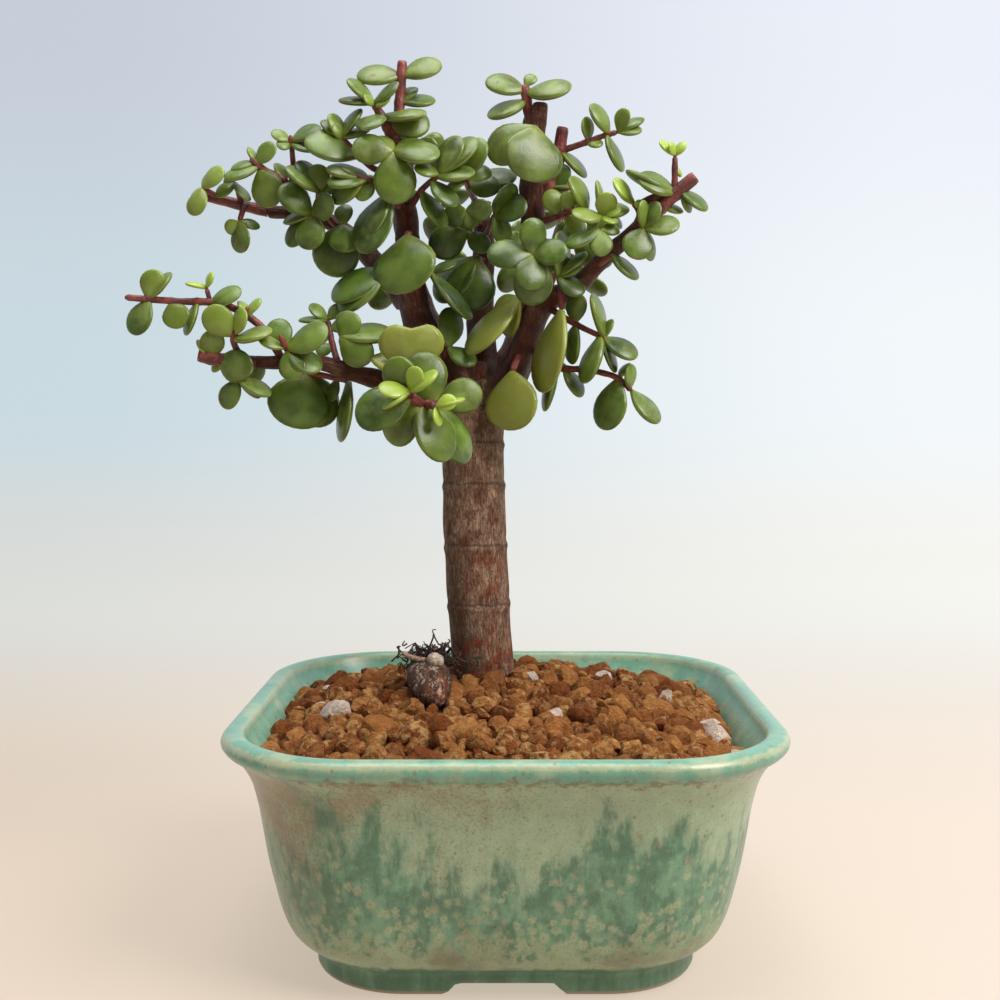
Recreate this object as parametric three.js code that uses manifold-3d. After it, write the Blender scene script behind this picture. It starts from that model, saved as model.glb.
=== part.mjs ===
// A dwarf jade bonsai (an elephant bush) in its glazed pot.
// Millimetres, +Z up. The front of the pot looks along -Y. Everything is laid out from the middle of
// the pot's foot, and the whole tree is then shifted so that the origin is the bottom centre of its box.

import * as THREE from 'three';
import { ConvexGeometry } from 'three/addons/geometries/ConvexGeometry.js';
import { mergeVertices } from 'three/addons/utils/BufferGeometryUtils.js';
import Module from 'manifold-3d';

const wasm = await Module();
wasm.setup();

// ---------------------------------------------------------------- driving dimensions
const GAP = 0.3; // clearance between pieces that touch
const SEAM = 0.2; // steps smaller than this along a seam are smoothed away

const POT = {
  rimHalfLength: 80, // widest place of the rolled lip
  narrower: 5.5, // each side is this much closer to the middle in Y than in X
  cornerShare: 0.49, // corner radius over half length
  height: 72,
  floorTop: 12,
  apronHalfLength: 55.3,
  apronThick: 8,
  apronHeight: 7,
  archHalfWidth: 17,
  archSlope: 4,
  archHeight: 3.2,
  drainRadius: 7,
  drainX: 27,
};

// half length of the pot at each height, outside from the waist up, then over the lip and down inside
const POT_OUTSIDE = [
  [55.3, 5.5],
  [56.6, 7.2],
  [61.6, 11.2],
  [64.4, 17],
  [66.4, 25.5],
  [68.7, 37],
  [70.3, 48],
  [73, 59.5],
  [76.8, 65],
  [79.3, 66.6],
  [80, 68.8],
  [79, 71],
  [76.8, 72],
];
const POT_INSIDE = [
  [74.6, 71.2],
  [73.2, 68.5],
  [68.2, 60],
  [65, 46],
  [61.4, 28],
  [53, POT.floorTop],
];

const SCREEN = { size: 24, thick: 1, cells: 2, bar: 3 };

const SOIL = {
  edgeHeight: 61,
  rise: 16.2, // of its ridge over its edge
  ridgeY: 10,
  reachX: 74,
  reachFront: 80,
  reachBack: 60,
  grain: 8.6,
  roughness: 1.7,
};

const TRUNK = { x: -7.2, y: 15, foot: 46, sway: 3.2, radius: 10.0, scar: 0.55, sides: 12 };
const SCAR_HEIGHTS = [98, 117, 136.5, 149.5, 161];

const LEAF = {
  widthShare: 0.72, // width over length, where a leaf states no other
  thickShare: 0.24,
  leastThick: 1.7,
  mostThick: 3.8,
  rootDepth: 0.4, // how far a leaf starts behind the middle of its stem
};

// outline of half a leaf: share of the length, share of the half width
const LEAF_OUTLINE = [
  [0.98, 0.54],
  [0.52, 1.06],
];

// ---------------------------------------------------------------- the tree's layout
// Boughs: centre line as [x, y, z, radius].
const BOUGHS = {
  lowLeft: [
    [-11, 13, 163, 6], [-21, 8, 166, 4.2], [-34, 3, 169, 3.4], [-47, 0, 172, 2.7],
    [-56, -3, 175, 2.3], [-68, -5, 175, 2.2], [-76, -6, 175, 2.1],
  ],
  centralLeft: [
    [-12, 14, 163, 7], [-20, 13, 175, 5.5], [-28, 12, 190, 5.0], [-30, 11, 207, 4.2],
    [-31, 11, 220, 3.6], [-33, 10, 233, 2.8], [-34, 9, 244, 2.2],
  ],
  centreRight: [
    [1, 15, 169, 5.5], [6, 14, 181, 4.6], [8, 13, 195, 4.4], [9, 13, 214, 3.9],
    [8, 13, 229, 3.7], [9, 13, 242, 3.0], [11, 12, 256, 2.4],
  ],
  right: [
    [-5, 14, 161, 7], [2, 12, 172, 4.6], [7, 10, 184, 4.2], [12, 8, 194, 3.8], [21, 5, 198, 3.0],
    [28, 3, 205, 2.6], [36, 1, 212, 2.4], [44, -1, 219, 2.3],
  ],
  leftUpper: [
    [-31, 14, 195, 4.2], [-42, 18, 208, 3.4], [-52, 21, 218, 2.8], [-62, 22, 223, 2.4],
    [-76, 21, 224, 2.0],
  ],
  middle: [
    [-9, 20, 163, 6.5], [-8, 24, 180, 5.0], [-8, 27, 200, 4.2], [-7, 29, 218, 3.2], [-9, 30, 229, 2.4],
  ],
  backLeft: [[-13, 22, 164, 5], [-23, 34, 184, 4.0], [-32, 46, 208, 3.2], [-37, 54, 228, 2.4]],
  backRight: [[-5, 22, 164, 5], [4, 34, 184, 4.0], [14, 44, 205, 3.2], [20, 50, 224, 2.4]],
  topStub: [[-10, 13, 162, 4.5], [-9, 13, 176, 3.1]],
};

// Sprays: a stem from its bough as [x, y, z] points with its two radii, the leaves along it as
// [place on the stem 0..1, reach in x, y, z, turn of the blade from facing front in degrees, width over
// length where it isn't the usual], and side twigs made alike.
const SPRAYS = {
  far_left: {
    stem: [[-67, -4.5, 175], [-74, -5, 186], [-84, -8, 192], [-99, -9, 193], [-113, -10, 194]],
    radius: [1.3, 1.0],
    leaves: [
      [0.88, 3.5, -1, 8.5, -15], [0.87, -5, -1, -10.5, 25], [0.75, 3, -2, -8, 5, 0.85],
      [0.61, -4, 0, -10, 60], [0.87, 5.5, 3, 8.5, 55], [0.54, 9.5, -2, 3.5, 45],
    ],
    twigs: [
      {
        stem: [[-88, -8, 192], [-89, -9, 197]],
        radius: [0.8, 0.7],
        leaves: [[1, -6, -1, 1.5, 75], [1, 2, -1, 4.5, 50], [1, -4.5, 3, 1.5, 80]],
      },
    ],
  },
  low_left_tip: {
    stem: [[-75, -6, 175], [-84, -7, 175.5], [-92, -8, 177]],
    radius: [2.0, 2.0],
    leaves: [
      [0.78, 2, -4, 8, -15], [0.67, 11, -5, -3.5, 0], [0.8, -3.5, 0, 5.5, 75], [0.33, 6, 8, -5.5, 5],
      [0.57, -4, 2, -3, 40],
    ],
    twigs: [
      {
        stem: [[-80, -6.5, 175], [-80, -9, 170]],
        leaves: [[1, -4, -1, -9, 25], [1, 10, -1, -4.5, 65], [1, 6.5, 3, -5, 65]],
      },
      {
        stem: [[-79, -6, 175], [-81, -10, 182], [-77, -12, 188], [-76, -13, 191]],
        leaves: [
          [0.47, -7.5, -3, 8, 5], [0.49, 3.5, -3, 7.5, 40], [0.42, 12, -4, 2, 65],
          [0.87, -1.5, 5.5, 4, 55], [0.87, -1.5, 5.5, 4, 55], [0.86, 4.5, 0, 5, 55],
        ],
      },
    ],
  },
  low_left_b: {
    stem: [[-63, -4, 175], [-66, -9, 180], [-67, -11, 183]],
    leaves: [
      [0.55, -4, 2, 9, 10], [0.57, -8, -2, 3, 55], [0.54, 13, -3, 5.5, 40], [0.51, 3.5, -5, -9, 0],
      [0.51, 10, -2, -6.5, 45],
    ],
  },
  low_left_c: {
    stem: [[-51.5, 0, 175.5], [-53.5, 3, 181.5], [-55, 5, 188.5]],
    leaves: [
      [1, -5.5, -1, 4.5, 50], [0.98, -9, -1, 0.5, 75], [1, 4.5, 1, 5, 30], [0.79, 6.5, -1, 2, 30],
      [0.65, -7, 2, -3, 50], [0.43, -4.5, -2, -3, 20],
    ],
  },
  low_left_e: {
    stem: [[-62, -4, 177], [-64, 2, 174.5], [-62, 6, 172.5]],
    leaves: [[1, -4, -2, -17.5, -20, 1], [1, 5.5, 3, -17, 25]],
    twigs: [
      {
        stem: [[-62, 6, 172.5], [-55, 6, 171], [-48.5, 5, 169.5]],
        leaves: [[0.98, -2, -2, -19, 70], [0.72, -2.5, 1, -7, 45]],
      },
    ],
  },
  low_left_g: {
    stem: [[-48.5, 2, 173.5], [-49.5, -3, 180], [-50, -4, 182.5]],
    leaves: [[1, 9.5, -4, -7, 0], [1, 4.5, 0, 7.5, 5, 0.85], [1, 16, 4, 2.5, 60]],
  },
  heart: {
    stem: [[-29, 6, 168], [-28, -8, 171.5]],
    radius: [1.5, 1.3],
    leaves: [[1, 0, -2, 16, 5, 1.1], [1, -12, 4, 7.5, 45]],
  },
  front: {
    stem: [[-19, 8, 166], [-20, -10, 163], [-24, -20, 162], [-27, -27, 164.5]],
    radius: [1.7, 1.5],
    leaves: [
      [1, -15.5, -1, -7, 25], [1, -5, -3, 11, -10], [0.85, 8, -2, -16.5, 45], [0.5, 13, 2, 3.5, 5],
      [0.9, -8.5, 3, -12, 20], [0.62, -4.5, 3, 15.5, 5], [0.7, 12.5, 4, -16, 55],
    ],
    twigs: [
      {
        stem: [[-27, -27, 164.5], [-27, -30, 166]],
        radius: [1.0, 0.9],
        leaves: [
          [1, -8.5, -4, 0.5, 50], [1, -7.5, -2.5, -5, 75], [1, 3, -3.5, 6.5, 25], [1, 8, -4, 5, 65],
        ],
      },
      {
        stem: [[-24, -20, 162], [-21, -25, 162], [-20, -27, 161.5]],
        radius: [1.2, 1.1],
        leaves: [[1, 6, -2, 2, 25], [1, 1, -1, -5.5, 60], [1, 8.5, 1, 2.5, 80]],
      },
    ],
  },
  round_leaf: {
    stem: [[5, 11, 180], [2, 1, 172.5]],
    radius: [1.2, 1.0],
    leaves: [[1, 0.5, -4, -18, 30, 0.9]],
  },
  long_leaf: {
    stem: [[6, 12, 191], [4, 5, 195.5]],
    radius: [1.2, 1.0],
    leaves: [[1, -16, -4, -17.5, 65], [1, -7.5, 4, -4.5, 40], [1, -4.5, 6, -11.5, 50]],
  },
  lens_leaf: {
    stem: [[-29, 11, 204], [-23, 6, 203]],
    radius: [1.2, 1.0],
    leaves: [[1, 13, -2, -14, 75], [1, 7.5, 1, 3.5, 60]],
  },
  dull_leaf: {
    stem: [[-21, 12, 173], [-18, 6, 180]],
    leaves: [[1, 8.5, -2, -5.5, 45], [1, 1.5, 3, 12.5, 40]],
  },
  shield_leaf: {
    stem: [[-30, 11, 216], [-30, 3, 214]],
    radius: [1.3, 1.1],
    leaves: [[1, -1.5, -7.5, -18, 25, 1]],
  },
  left_a: {
    stem: [[-30, 11, 200], [-36, 3, 203]],
    radius: [1.2, 1.0],
    leaves: [[1, -16.5, 1, -11, 50], [1, -18, 4, -7.5, 50]],
  },
  left_b: {
    stem: [[-52, 20, 217], [-50.5, 12, 218.5]],
    radius: [1.2, 1.0],
    leaves: [[1, -4.5, 1, -16, 10, 0.85], [1, -0.5, 3, 7, -5], [1, 1.5, -4, -9, 10, 1]],
  },
  left_c: {
    stem: [[-59, 21.5, 221.5], [-60.5, 11, 221.5]],
    leaves: [
      [1, 0, -4, -11.5, 10], [1, -9, -3, 8.5, 30], [1, -8, 1, -9.5, 40], [1, 7.5, -7.5, 3, 10],
      [1, -9.5, 4, -1, 55],
    ],
  },
  left_d: {
    stem: [[-31, 10, 221], [-36, 5, 227]],
    leaves: [[1, -7.5, -1, -13, 50], [1, -8, -1.5, -18.5, 40]],
  },
  left_e: {
    stem: [[-62, 21.5, 223], [-66, 15.5, 227.5], [-68.5, 13, 231.5], [-77, 12, 236.5], [-79.5, 12, 239]],
    radius: [1.3, 1.1],
    leaves: [
      [0.85, 4, -2, -12.5, -10], [0.92, 6.5, -2, 5.5, 25], [0.87, -10.5, -2, -4, 55],
      [0.94, -7.5, 1, -2, 55], [0.94, -1.5, 2, 5, 65], [0.44, 6, 1, 7.5, 10], [0.55, -2, 4, 6, 50],
    ],
  },
  far_up_tip: {
    stem: [[-76, 21, 224], [-85, 20, 226], [-98, 18, 229]],
    radius: [1.9, 1.6],
    leaves: [],
    twigs: [
      {
        stem: [[-91, 19, 228], [-95, 13, 230]],
        leaves: [[1, -2, -3, -9, 25], [1, 7, -2, 6, 35], [1, -4.5, 2, -3.5, 50], [1, 3, 2, 5.5, 45]],
      },
      {
        stem: [[-83, 19, 226], [-84, 15, 220]],
        leaves: [[1, 1, -1, -10, 30], [1, -4.5, 1, -3, 0, 0.85], [1, 6, 3, -1, 50]],
      },
      {
        stem: [[-84, 20, 226], [-85, 15, 232]],
        leaves: [[1, -6, -1, -4, 35], [1, -4, 1, 1, 5], [1, 4.5, -3, -6, 70]],
      },
    ],
  },
  up_a: {
    stem: [[-68, 21.5, 223.5], [-67.5, 21, 233], [-67, 15, 241], [-67, 12, 246]],
    leaves: [
      [0.93, -6, -1, 2.5, 40], [0.9, -4, -3, -1.5, 20], [0.93, 9.5, -1, 4, 45], [0.9, 8.5, -3, -2.5, 55],
    ],
  },
  far_up_a: {
    stem: [[-52, 21, 217], [-58.5, 13, 225], [-58, 10, 228.5]],
    leaves: [[0.95, 0, -1, 9, 5], [0.99, -6, 1, 10, 50], [0.99, -9.5, -4, 7, 65], [0.91, 6, 1, 5, 25]],
  },
  up_b: {
    stem: [[-33, 10, 232], [-42, 9, 236], [-48, 9, 242], [-53, 9, 246]],
    leaves: [
      [0.58, -16, -4.5, 4.5, 40], [0.88, -3, 0, 8, 50], [0.92, -5, 2, 6, 45], [0.85, -3, -1.5, 5, 45],
      [0.9, 6, 1, 9.5, 60], [0.9, 9, 2, 3.5, 60],
    ],
  },
  up_c: {
    stem: [[-32, 11, 228], [-39, 5, 230], [-46, 2, 232]],
    leaves: [
      [0.76, -12, -2, -1, 50], [0.64, -4.5, -2, -6, 25], [0.73, -8.5, 3, 5, 65], [0.85, -11, 3, 4, 55],
      [0.81, -10.5, 4, -6, 40], [0.57, 4.5, -2, -4, 35],
    ],
  },
  up_d: {
    stem: [[-33, 9, 238], [-34, 2, 239]],
    radius: [1.3, 1.1],
    leaves: [
      [1, -12.5, -2, 0.5, 15], [1, 14, -3, -1, 45], [1, 1, -3, -16, -5], [1, 9.5, 4, 3.5, 45],
      [1, -5, 3, 5.5, 45],
    ],
  },
  top_left: {
    stem: [[-34, 9, 243], [-34, 9.5, 243], [-38, 9, 250.5], [-40.5, 8, 255]],
    radius: [1.9, 1.2],
    leaves: [
      [1, -8, -2, 6.5, 60], [1, -11, 1, 1.5, 65], [1, 8, -3, 5, 55], [0.96, -3, -4, 1, 35],
      [0.96, 5, -4, 0.5, 40], [0.67, 14, -4, 0, 65], [0.72, -4, -9.5, -6.5, 35], [0.43, 13, 3, 2.5, 20],
      [0.29, 4.5, 3.5, 1.5, 10],
    ],
    twigs: [
      {
        stem: [[-34, 10, 244], [-33, 12, 254.5], [-32, 12, 268.5]],
        radius: [1.7, 1.6],
        leaves: [
          [0.83, 12.5, -1, 3.5, 40], [0.82, -14, 0, 0.5, 45], [0.49, 4.5, 3, 6, 40],
          [0.5, 11, 2, 1.5, 55],
        ],
      },
    ],
  },
  mid_a: {
    stem: [[-31, 11, 221], [-25.5, 4, 228], [-20, 1, 232]],
    leaves: [
      [1, 5.5, 1, 12, 40], [1, 11, 2, 11.5, 50], [0.94, 11.5, -4, 0.5, 55], [0.83, 7.5, -4, -8, 50],
      [0.57, 7.5, 0, -11, 60], [1, -7.5, -2, 2, 45],
    ],
  },
  mid_b: {
    stem: [[-9, 29, 227], [-11.5, 14, 230], [-12.5, 6, 232]],
    leaves: [
      [0.72, 10, -3, -0.5, 25], [1, 5, 0, 12, 35], [1, -8, 10.5, 9, 80], [1, 8, 3, 3, 30],
      [0.67, 14.5, 5, 6, 50], [0.9, -6.5, 1, -2.5, 50],
    ],
  },
  mid_c: {
    stem: [[-8, 29, 221], [-11, 14, 221], [-12, 6, 222]],
    leaves: [[1, 8, -2, 0, -10], [1, -7, 3, -2, 5, 0.9], [1, 7, 4, 3.5, 60], [1, 2.5, 2, -5, 10, 0.8]],
  },
  mid_d: {
    stem: [[-7, 28, 216], [-12, 18, 217]],
    leaves: [[1, -12, -2, -6, -10], [1, 6.5, -1.5, -6, 15]],
  },
  mid_e: {
    stem: [[-7, 27, 209], [-9, 17, 209]],
    leaves: [[1, -4.5, -2, -17, 5, 0.85], [1, -13.5, 3, -13, 40]],
  },
  right_a: {
    stem: [[-7, 29, 216], [-3.5, 9, 221]],
    leaves: [[1, 10, -4, 3, 25, 0.8], [1, 4, 2, -8.5, 30], [1, 6.5, -2.5, 9, -55], [1, 3, -1.5, 6, -35]],
  },
  rosette: {
    stem: [[9, 12, 208], [8, 2, 208], [8, -5, 207]],
    radius: [1.3, 1.1],
    leaves: [
      [1, 0.5, -1, 11, 20], [1, 10.5, -3, 1, 20], [1, -13.5, -2, 0, 30], [1, -1, -5, -10.5, -15, 0.8],
      [1, 0, 0, -15, 0],
    ],
  },
  crown_leaf: {
    stem: [[9, 12, 246], [9, 5, 247]],
    radius: [1.4, 1.2],
    leaves: [[1, -1.5, -5, -17, -20, 1], [1, -14, 1, -9.5, 20]],
  },
  top_right: {
    stem: [[9, 13, 245], [7, 14, 255], [6, 14, 262]],
    radius: [2.0, 1.4],
    leaves: [
      [0.89, -12.5, -1, 3, 40], [0.85, 14, -5, 0.5, 50], [0.72, -12, -2, -6, 55], [0.98, 3, 2, 4, 15],
      [0.54, -0.5, 6, -4.5, -60],
    ],
  },
  right_b: {
    stem: [[9, 14, 222], [15, 15, 233], [18, 15, 249]],
    radius: [2.5, 2.0],
    leaves: [
      [0.32, 6, -3, 6.5, 25], [0.34, 11, -3, 0.5, 65], [0.32, 3.5, -2, -6.5, 15], [0.76, 9, 0, -8, 65],
    ],
    twigs: [
      {
        stem: [[18, 15, 242], [25, 13, 244], [31, 12, 246], [35, 12, 247]],
        leaves: [
          [0.47, -0.5, -1, 7.5, 45], [0.43, 5, -2, -1, 40], [0.84, -5, -1, 9.5, 50],
          [1, 2.5, -3, 6.5, 35], [1, 7.5, -1, 0.5, 50], [0.8, 5, -1, -11.5, 65], [1, 8, 2, 5, 60],
        ],
      },
    ],
  },
  right_d: {
    stem: [[9, 12, 219], [15, 8, 220], [20.5, 4, 221.5], [25.5, 1, 220.5], [29.5, -1, 219]],
    leaves: [
      [0.78, -4.5, -1, 11, 55], [0.99, 1.5, -4, 6.5, -15, 0.8], [1, 7.5, 4.5, 4.5, 40],
      [1, 6, 7, -0.5, 35], [1, -9.5, -4, 0, 50], [0.38, -3.5, 0, 8, 15], [0.53, 0, 0, 6.5, 0, 0.8],
      [0.45, 6, 4, -5, 25], [0.99, -1, 1, 11, 75], [0.99, 5.5, -2, 2, 50], [0.79, 2.5, 1, -4.5, 15],
      [0.98, 4, -4, -2.5, 50],
    ],
  },
  right_e: {
    stem: [[38, 1, 214], [40.5, -1, 220], [38.5, -1, 223.5]],
    leaves: [[1, -6, -2, 6.5, 50], [0.9, -4.5, 1, 4.5, 50], [0.72, 0, -1, 3, 15, 0.85]],
  },
  right_tip: {
    stem: [[44, -1, 219], [51, -2, 225.5], [57, -3, 230.5]],
    radius: [2.2, 2.0],
    leaves: [
      [0.59, -12, -3, 4, 45], [0.57, -15, 2.5, 7, 80], [0.66, 8.5, -1, -6, 55], [0.24, 7, 2, -0.5, 55],
      [0.69, 3.5, 3, -6.5, 55],
    ],
    twigs: [
      {
        stem: [[51, -2, 225.5], [51, -2, 232], [51, -2, 237]],
        leaves: [[1, -4.5, 0, 4.5, 50], [1, 3, 0, 4, 45], [1, -2, -3, 3, 40], [0.69, 2.5, 2, -2, 50]],
      },
      { stem: [[51, -1, 226], [44, 1, 224], [40, 2, 222]], radius: [2.0, 1.7], leaves: [] },
    ],
  },
  right_h: {
    stem: [[40, 0, 216], [41.5, -5, 215]],
    leaves: [
      [1, 10.5, -2, 1, 40], [1, -3.5, -4, -9.5, 0, 0.8], [1, 3, 1, -9.5, 55], [1, 4, -2, 7.5, 45],
      [1, -1, -4, 7.5, 55],
    ],
  },
  right_i: {
    stem: [[31, 2, 208], [28.5, -4, 214.5]],
    leaves: [[1, 0, -4, -8, 5], [1, -10.5, 1, -4.5, 55], [1, 6, 2, 0.5, 35]],
  },
  right_j: {
    stem: [[18, 6, 197], [16, 0, 201]],
    leaves: [[1, 7.5, -3, -5.5, 35], [1, 7, 0, 4.5, 50], [1, 8.5, 2, 8, 70], [1, 2, 3, 14, 60]],
    twigs: [
      {
        stem: [[17, 3, 199], [17, -1, 195], [17, -1.5, 191]],
        radius: [1.2, 1.0],
        leaves: [[1, -6.5, -2, -25, 65]],
      },
    ],
  },
  right_low_a: {
    stem: [[14, 8, 192], [18, 3, 189], [23, 0, 186], [27, -1, 184], [31, -2, 182]],
    leaves: [
      [0.94, 10, -3, -6, 50], [0.89, -5.5, -5, -14, 70], [0.95, -3.5, 0, 13.5, 70],
      [0.5, 1, -0.5, 9, -30], [0.92, 5, 1, -10.5, 70], [0.95, 2, 2, 6, 60], [0.52, -2, 3, -12, 65],
    ],
  },
  right_low_b: {
    stem: [[8, 10, 180], [16, 6, 174], [25, 2, 173], [34, -1, 170.5], [38.5, -2, 166.5]],
    radius: [1.2, 0.9],
    leaves: [
      [0.85, -5, -1, -15.5, 45], [1, 8, -2, -10, 55], [0.98, 0, -2, 7.5, 50], [0.36, 6, -1, -8.5, 55],
      [0.31, -3.5, 2, -5.5, 55], [0.28, -3.5, 2, -14, 80], [0.85, 3.5, 1.5, 5, 70],
      [0.39, -7.5, 6.5, 5.5, 80],
    ],
  },
  right_k: {
    stem: [[26, 4, 203], [32, -2, 207.5]],
    leaves: [[1, 8, -2, -7.5, 60], [1, 7, 1, -4.5, 65]],
  },
};

// Sprays that fill the back of the crown: a stem on its bough and, along it, opposite pairs of leaves,
// each pair turned a quarter from the one before.
const BACK_SPRAYS = {
  back_a: { stem: [[-29, 42, 200], [-38, 52, 202], [-46, 60, 207]], pairs: 3, length: 11 },
  back_b: { stem: [[-36, 52, 224], [-40, 58, 232], [-42, 61, 240]], pairs: 3, length: 11 },
  back_c: { stem: [[-33, 47, 211], [-24, 58, 216], [-19, 66, 222]], pairs: 3, length: 12 },
  back_d: { stem: [[12, 42, 201], [22, 50, 204], [30, 56, 210]], pairs: 3, length: 11 },
  back_e: { stem: [[19, 49, 222], [19, 56, 230], [16, 60, 238]], pairs: 3, length: 11 },
  back_f: { stem: [[15, 45, 207], [6, 56, 212], [0, 63, 219]], pairs: 3, length: 12 },
  back_g: { stem: [[-8, 30, 226], [-12, 36, 234], [-14, 39, 242]], pairs: 3, length: 10 },
  back_h: { stem: [[-33, 11, 236], [-29, 22, 240], [-28, 31, 245]], pairs: 3, length: 10 },
  back_i: { stem: [[9, 15, 214], [20, 28, 214], [27, 38, 218]], pairs: 3, length: 10 },
};

// Bends that a crowded leaf tries in turn, as [droop, swing] in degrees, at each of these sizes.
const BENDS = [
  [0, 0], [12, 0], [-12, 0], [0, 12], [0, -12], [14, 14], [14, -14], [-14, 14], [-14, -14],
  [24, 0], [-24, 0], [0, 24], [0, -24], [26, 26], [26, -26], [-26, 26], [-26, -26],
  [40, 0], [-40, 0], [0, 40], [0, -40], [58, 0], [-58, 0], [0, 58], [0, -58],
];
const SIZES = [1, 0.86, 0.72];
const LEAF_CLEARANCE = 0.35;
const SISTER_REACH = 2.2; // leaves of one spray that start this close may touch

// ---------------------------------------------------------------- small tools
const UP = new THREE.Vector3(0, 0, 1);
const FRONT = new THREE.Vector3(0, -1, 0);

const v3 = (p) => new THREE.Vector3(p[0], p[1], p[2]);

function seeded(seed) {
  let state = seed >>> 0;
  return () => {
    state = (state + 0x6d2b79f5) >>> 0;
    let t = Math.imul(state ^ (state >>> 15), 1 | state);
    t = (t + Math.imul(t ^ (t >>> 7), 61 | t)) ^ t;
    return ((t ^ (t >>> 14)) >>> 0) / 4294967296;
  };
}

function square(vector, axis) {
  return vector.clone().addScaledVector(axis, -vector.dot(axis)).normalize();
}

function solidOf(geometry) {
  const plain = geometry.clone();
  plain.deleteAttribute('normal');
  plain.deleteAttribute('uv');
  const merged = mergeVertices(plain, 1e-4);
  const solid = new wasm.Manifold(new wasm.Mesh({
    numProp: 3,
    vertProperties: new Float32Array(merged.attributes.position.array),
    triVerts: new Uint32Array(merged.index.array),
  }));
  return solid;
}

function geometryOf(solid) {
  const mesh = solid.getMesh();
  const geometry = new THREE.BufferGeometry();
  geometry.setAttribute('position', new THREE.BufferAttribute(new Float32Array(mesh.vertProperties), 3));
  geometry.setIndex(new THREE.BufferAttribute(new Uint32Array(mesh.triVerts), 1));
  return geometry;
}

// The one body that is left after a cut, with the specks that joins leave along their seams smoothed away.
function largest(solid) {
  const pieces = solid.simplify(SEAM).decompose();
  return pieces.reduce((best, piece) => (piece.volume() > best.volume() ? piece : best));
}

function box(width, depth, height, x, y, z) {
  const geometry = new THREE.BoxGeometry(width, depth, height);
  geometry.translate(x, y, z);
  return solidOf(geometry);
}

// Points along a smooth curve through the given ones, with their distances measured along it.
function smoothPath(points, step) {
  const curve = new THREE.CatmullRomCurve3(points.map(v3));
  const count = Math.max(1, Math.round(curve.getLength() / step));
  return curve.getSpacedPoints(count);
}

// A limb along straight steps between centres: a capped cylinder bent to the path and tapered.
function limb(centres, radii, sides, roughness = 0, seed = 1) {
  const rings = centres.length - 1;
  const geometry = new THREE.CylinderGeometry(1, 1, 1, sides, rings);
  const position = geometry.attributes.position;
  const random = seeded(seed);
  const bumps = Array.from({ length: (rings + 1) * sides }, () => 1 + roughness * (2 * random() - 1));
  const frames = [];
  let side = null;
  for (let i = 0; i <= rings; i += 1) {
    const before = centres[Math.max(0, i - 1)];
    const after = centres[Math.min(rings, i + 1)];
    const along = after.clone().sub(before).normalize();
    const guide = side ?? (Math.abs(along.z) > 0.8 ? FRONT : UP);
    side = square(guide, along);
    frames.push({ across: side.clone(), other: along.clone().cross(side) });
  }
  for (let i = 0; i < position.count; i += 1) {
    const ring = Math.round((position.getY(i) + 0.5) * rings);
    const x = position.getX(i);
    const z = position.getZ(i);
    const reach = Math.hypot(x, z);
    const turn = Math.round((Math.atan2(z, x) / (2 * Math.PI)) * sides + sides) % sides;
    const radius = reach < 0.5 ? 0 : radii[ring] * bumps[ring * sides + turn];
    const angle = (2 * Math.PI * turn) / sides;
    const place = centres[ring].clone();
    place.addScaledVector(frames[ring].across, radius * Math.cos(angle));
    place.addScaledVector(frames[ring].other, -radius * Math.sin(angle));
    position.setXYZ(i, place.x, place.y, place.z);
  }
  return solidOf(geometry);
}

// ---------------------------------------------------------------- pot
// The pot's plan at a given half length: a rounded rectangle, as a point for each of the lathe's angles.
const CORNER_STEPS = 5;
const PLAN_STEPS = 4 * (CORNER_STEPS + 1);

function planPoint(halfLength, index) {
  const halfWidth = halfLength - POT.narrower * (halfLength / POT.rimHalfLength);
  const corner = POT.cornerShare * halfLength;
  const quarter = Math.floor(index / (CORNER_STEPS + 1)) % 4;
  const step = index % (CORNER_STEPS + 1);
  const angle = (Math.PI / 2) * (quarter + step / CORNER_STEPS);
  const sideX = quarter === 0 || quarter === 3 ? 1 : -1;
  const sideY = quarter < 2 ? 1 : -1;
  const x = sideX * (halfLength - corner) + corner * Math.cos(angle);
  const y = sideY * (halfWidth - corner) + corner * Math.sin(angle);
  return [x, y];
}

// A turned body whose round plan is pressed into the pot's rounded rectangle.
function pressed(profile) {
  const points = profile.map(([halfLength, z]) => new THREE.Vector2(halfLength, z));
  const geometry = new THREE.LatheGeometry(points, PLAN_STEPS);
  geometry.rotateX(Math.PI / 2);
  const position = geometry.attributes.position;
  for (let i = 0; i < position.count; i += 1) {
    const x = position.getX(i);
    const y = position.getY(i);
    const halfLength = Math.hypot(x, y);
    if (halfLength > 1e-6) {
      const turn = Math.atan2(y, x) / (2 * Math.PI);
      const index = Math.round(turn * PLAN_STEPS + PLAN_STEPS) % PLAN_STEPS;
      const [px, py] = planPoint(halfLength, index);
      position.setXYZ(i, px, py, position.getZ(i));
    }
  }
  const solid = solidOf(geometry);
  return solid.volume() > 0 ? solid : solidOf(flipped(geometry));
}

function flipped(geometry) {
  const index = geometry.index.array;
  for (let i = 0; i < index.length; i += 3) {
    const second = index[i + 1];
    index[i + 1] = index[i + 2];
    index[i + 2] = second;
  }
  return geometry;
}

function archCut(alongX) {
  const shape = new THREE.Shape();
  const wide = POT.archHalfWidth;
  shape.moveTo(-wide, -1);
  shape.lineTo(wide, -1);
  shape.lineTo(wide - POT.archSlope, POT.archHeight);
  shape.lineTo(-wide + POT.archSlope, POT.archHeight);
  shape.closePath();
  const length = 2 * POT.rimHalfLength;
  const geometry = new THREE.ExtrudeGeometry(shape, { depth: length, bevelEnabled: false });
  geometry.translate(0, 0, -length / 2);
  geometry.rotateX(Math.PI / 2);
  if (alongX) {
    geometry.rotateZ(Math.PI / 2);
  }
  return solidOf(geometry);
}

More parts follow.
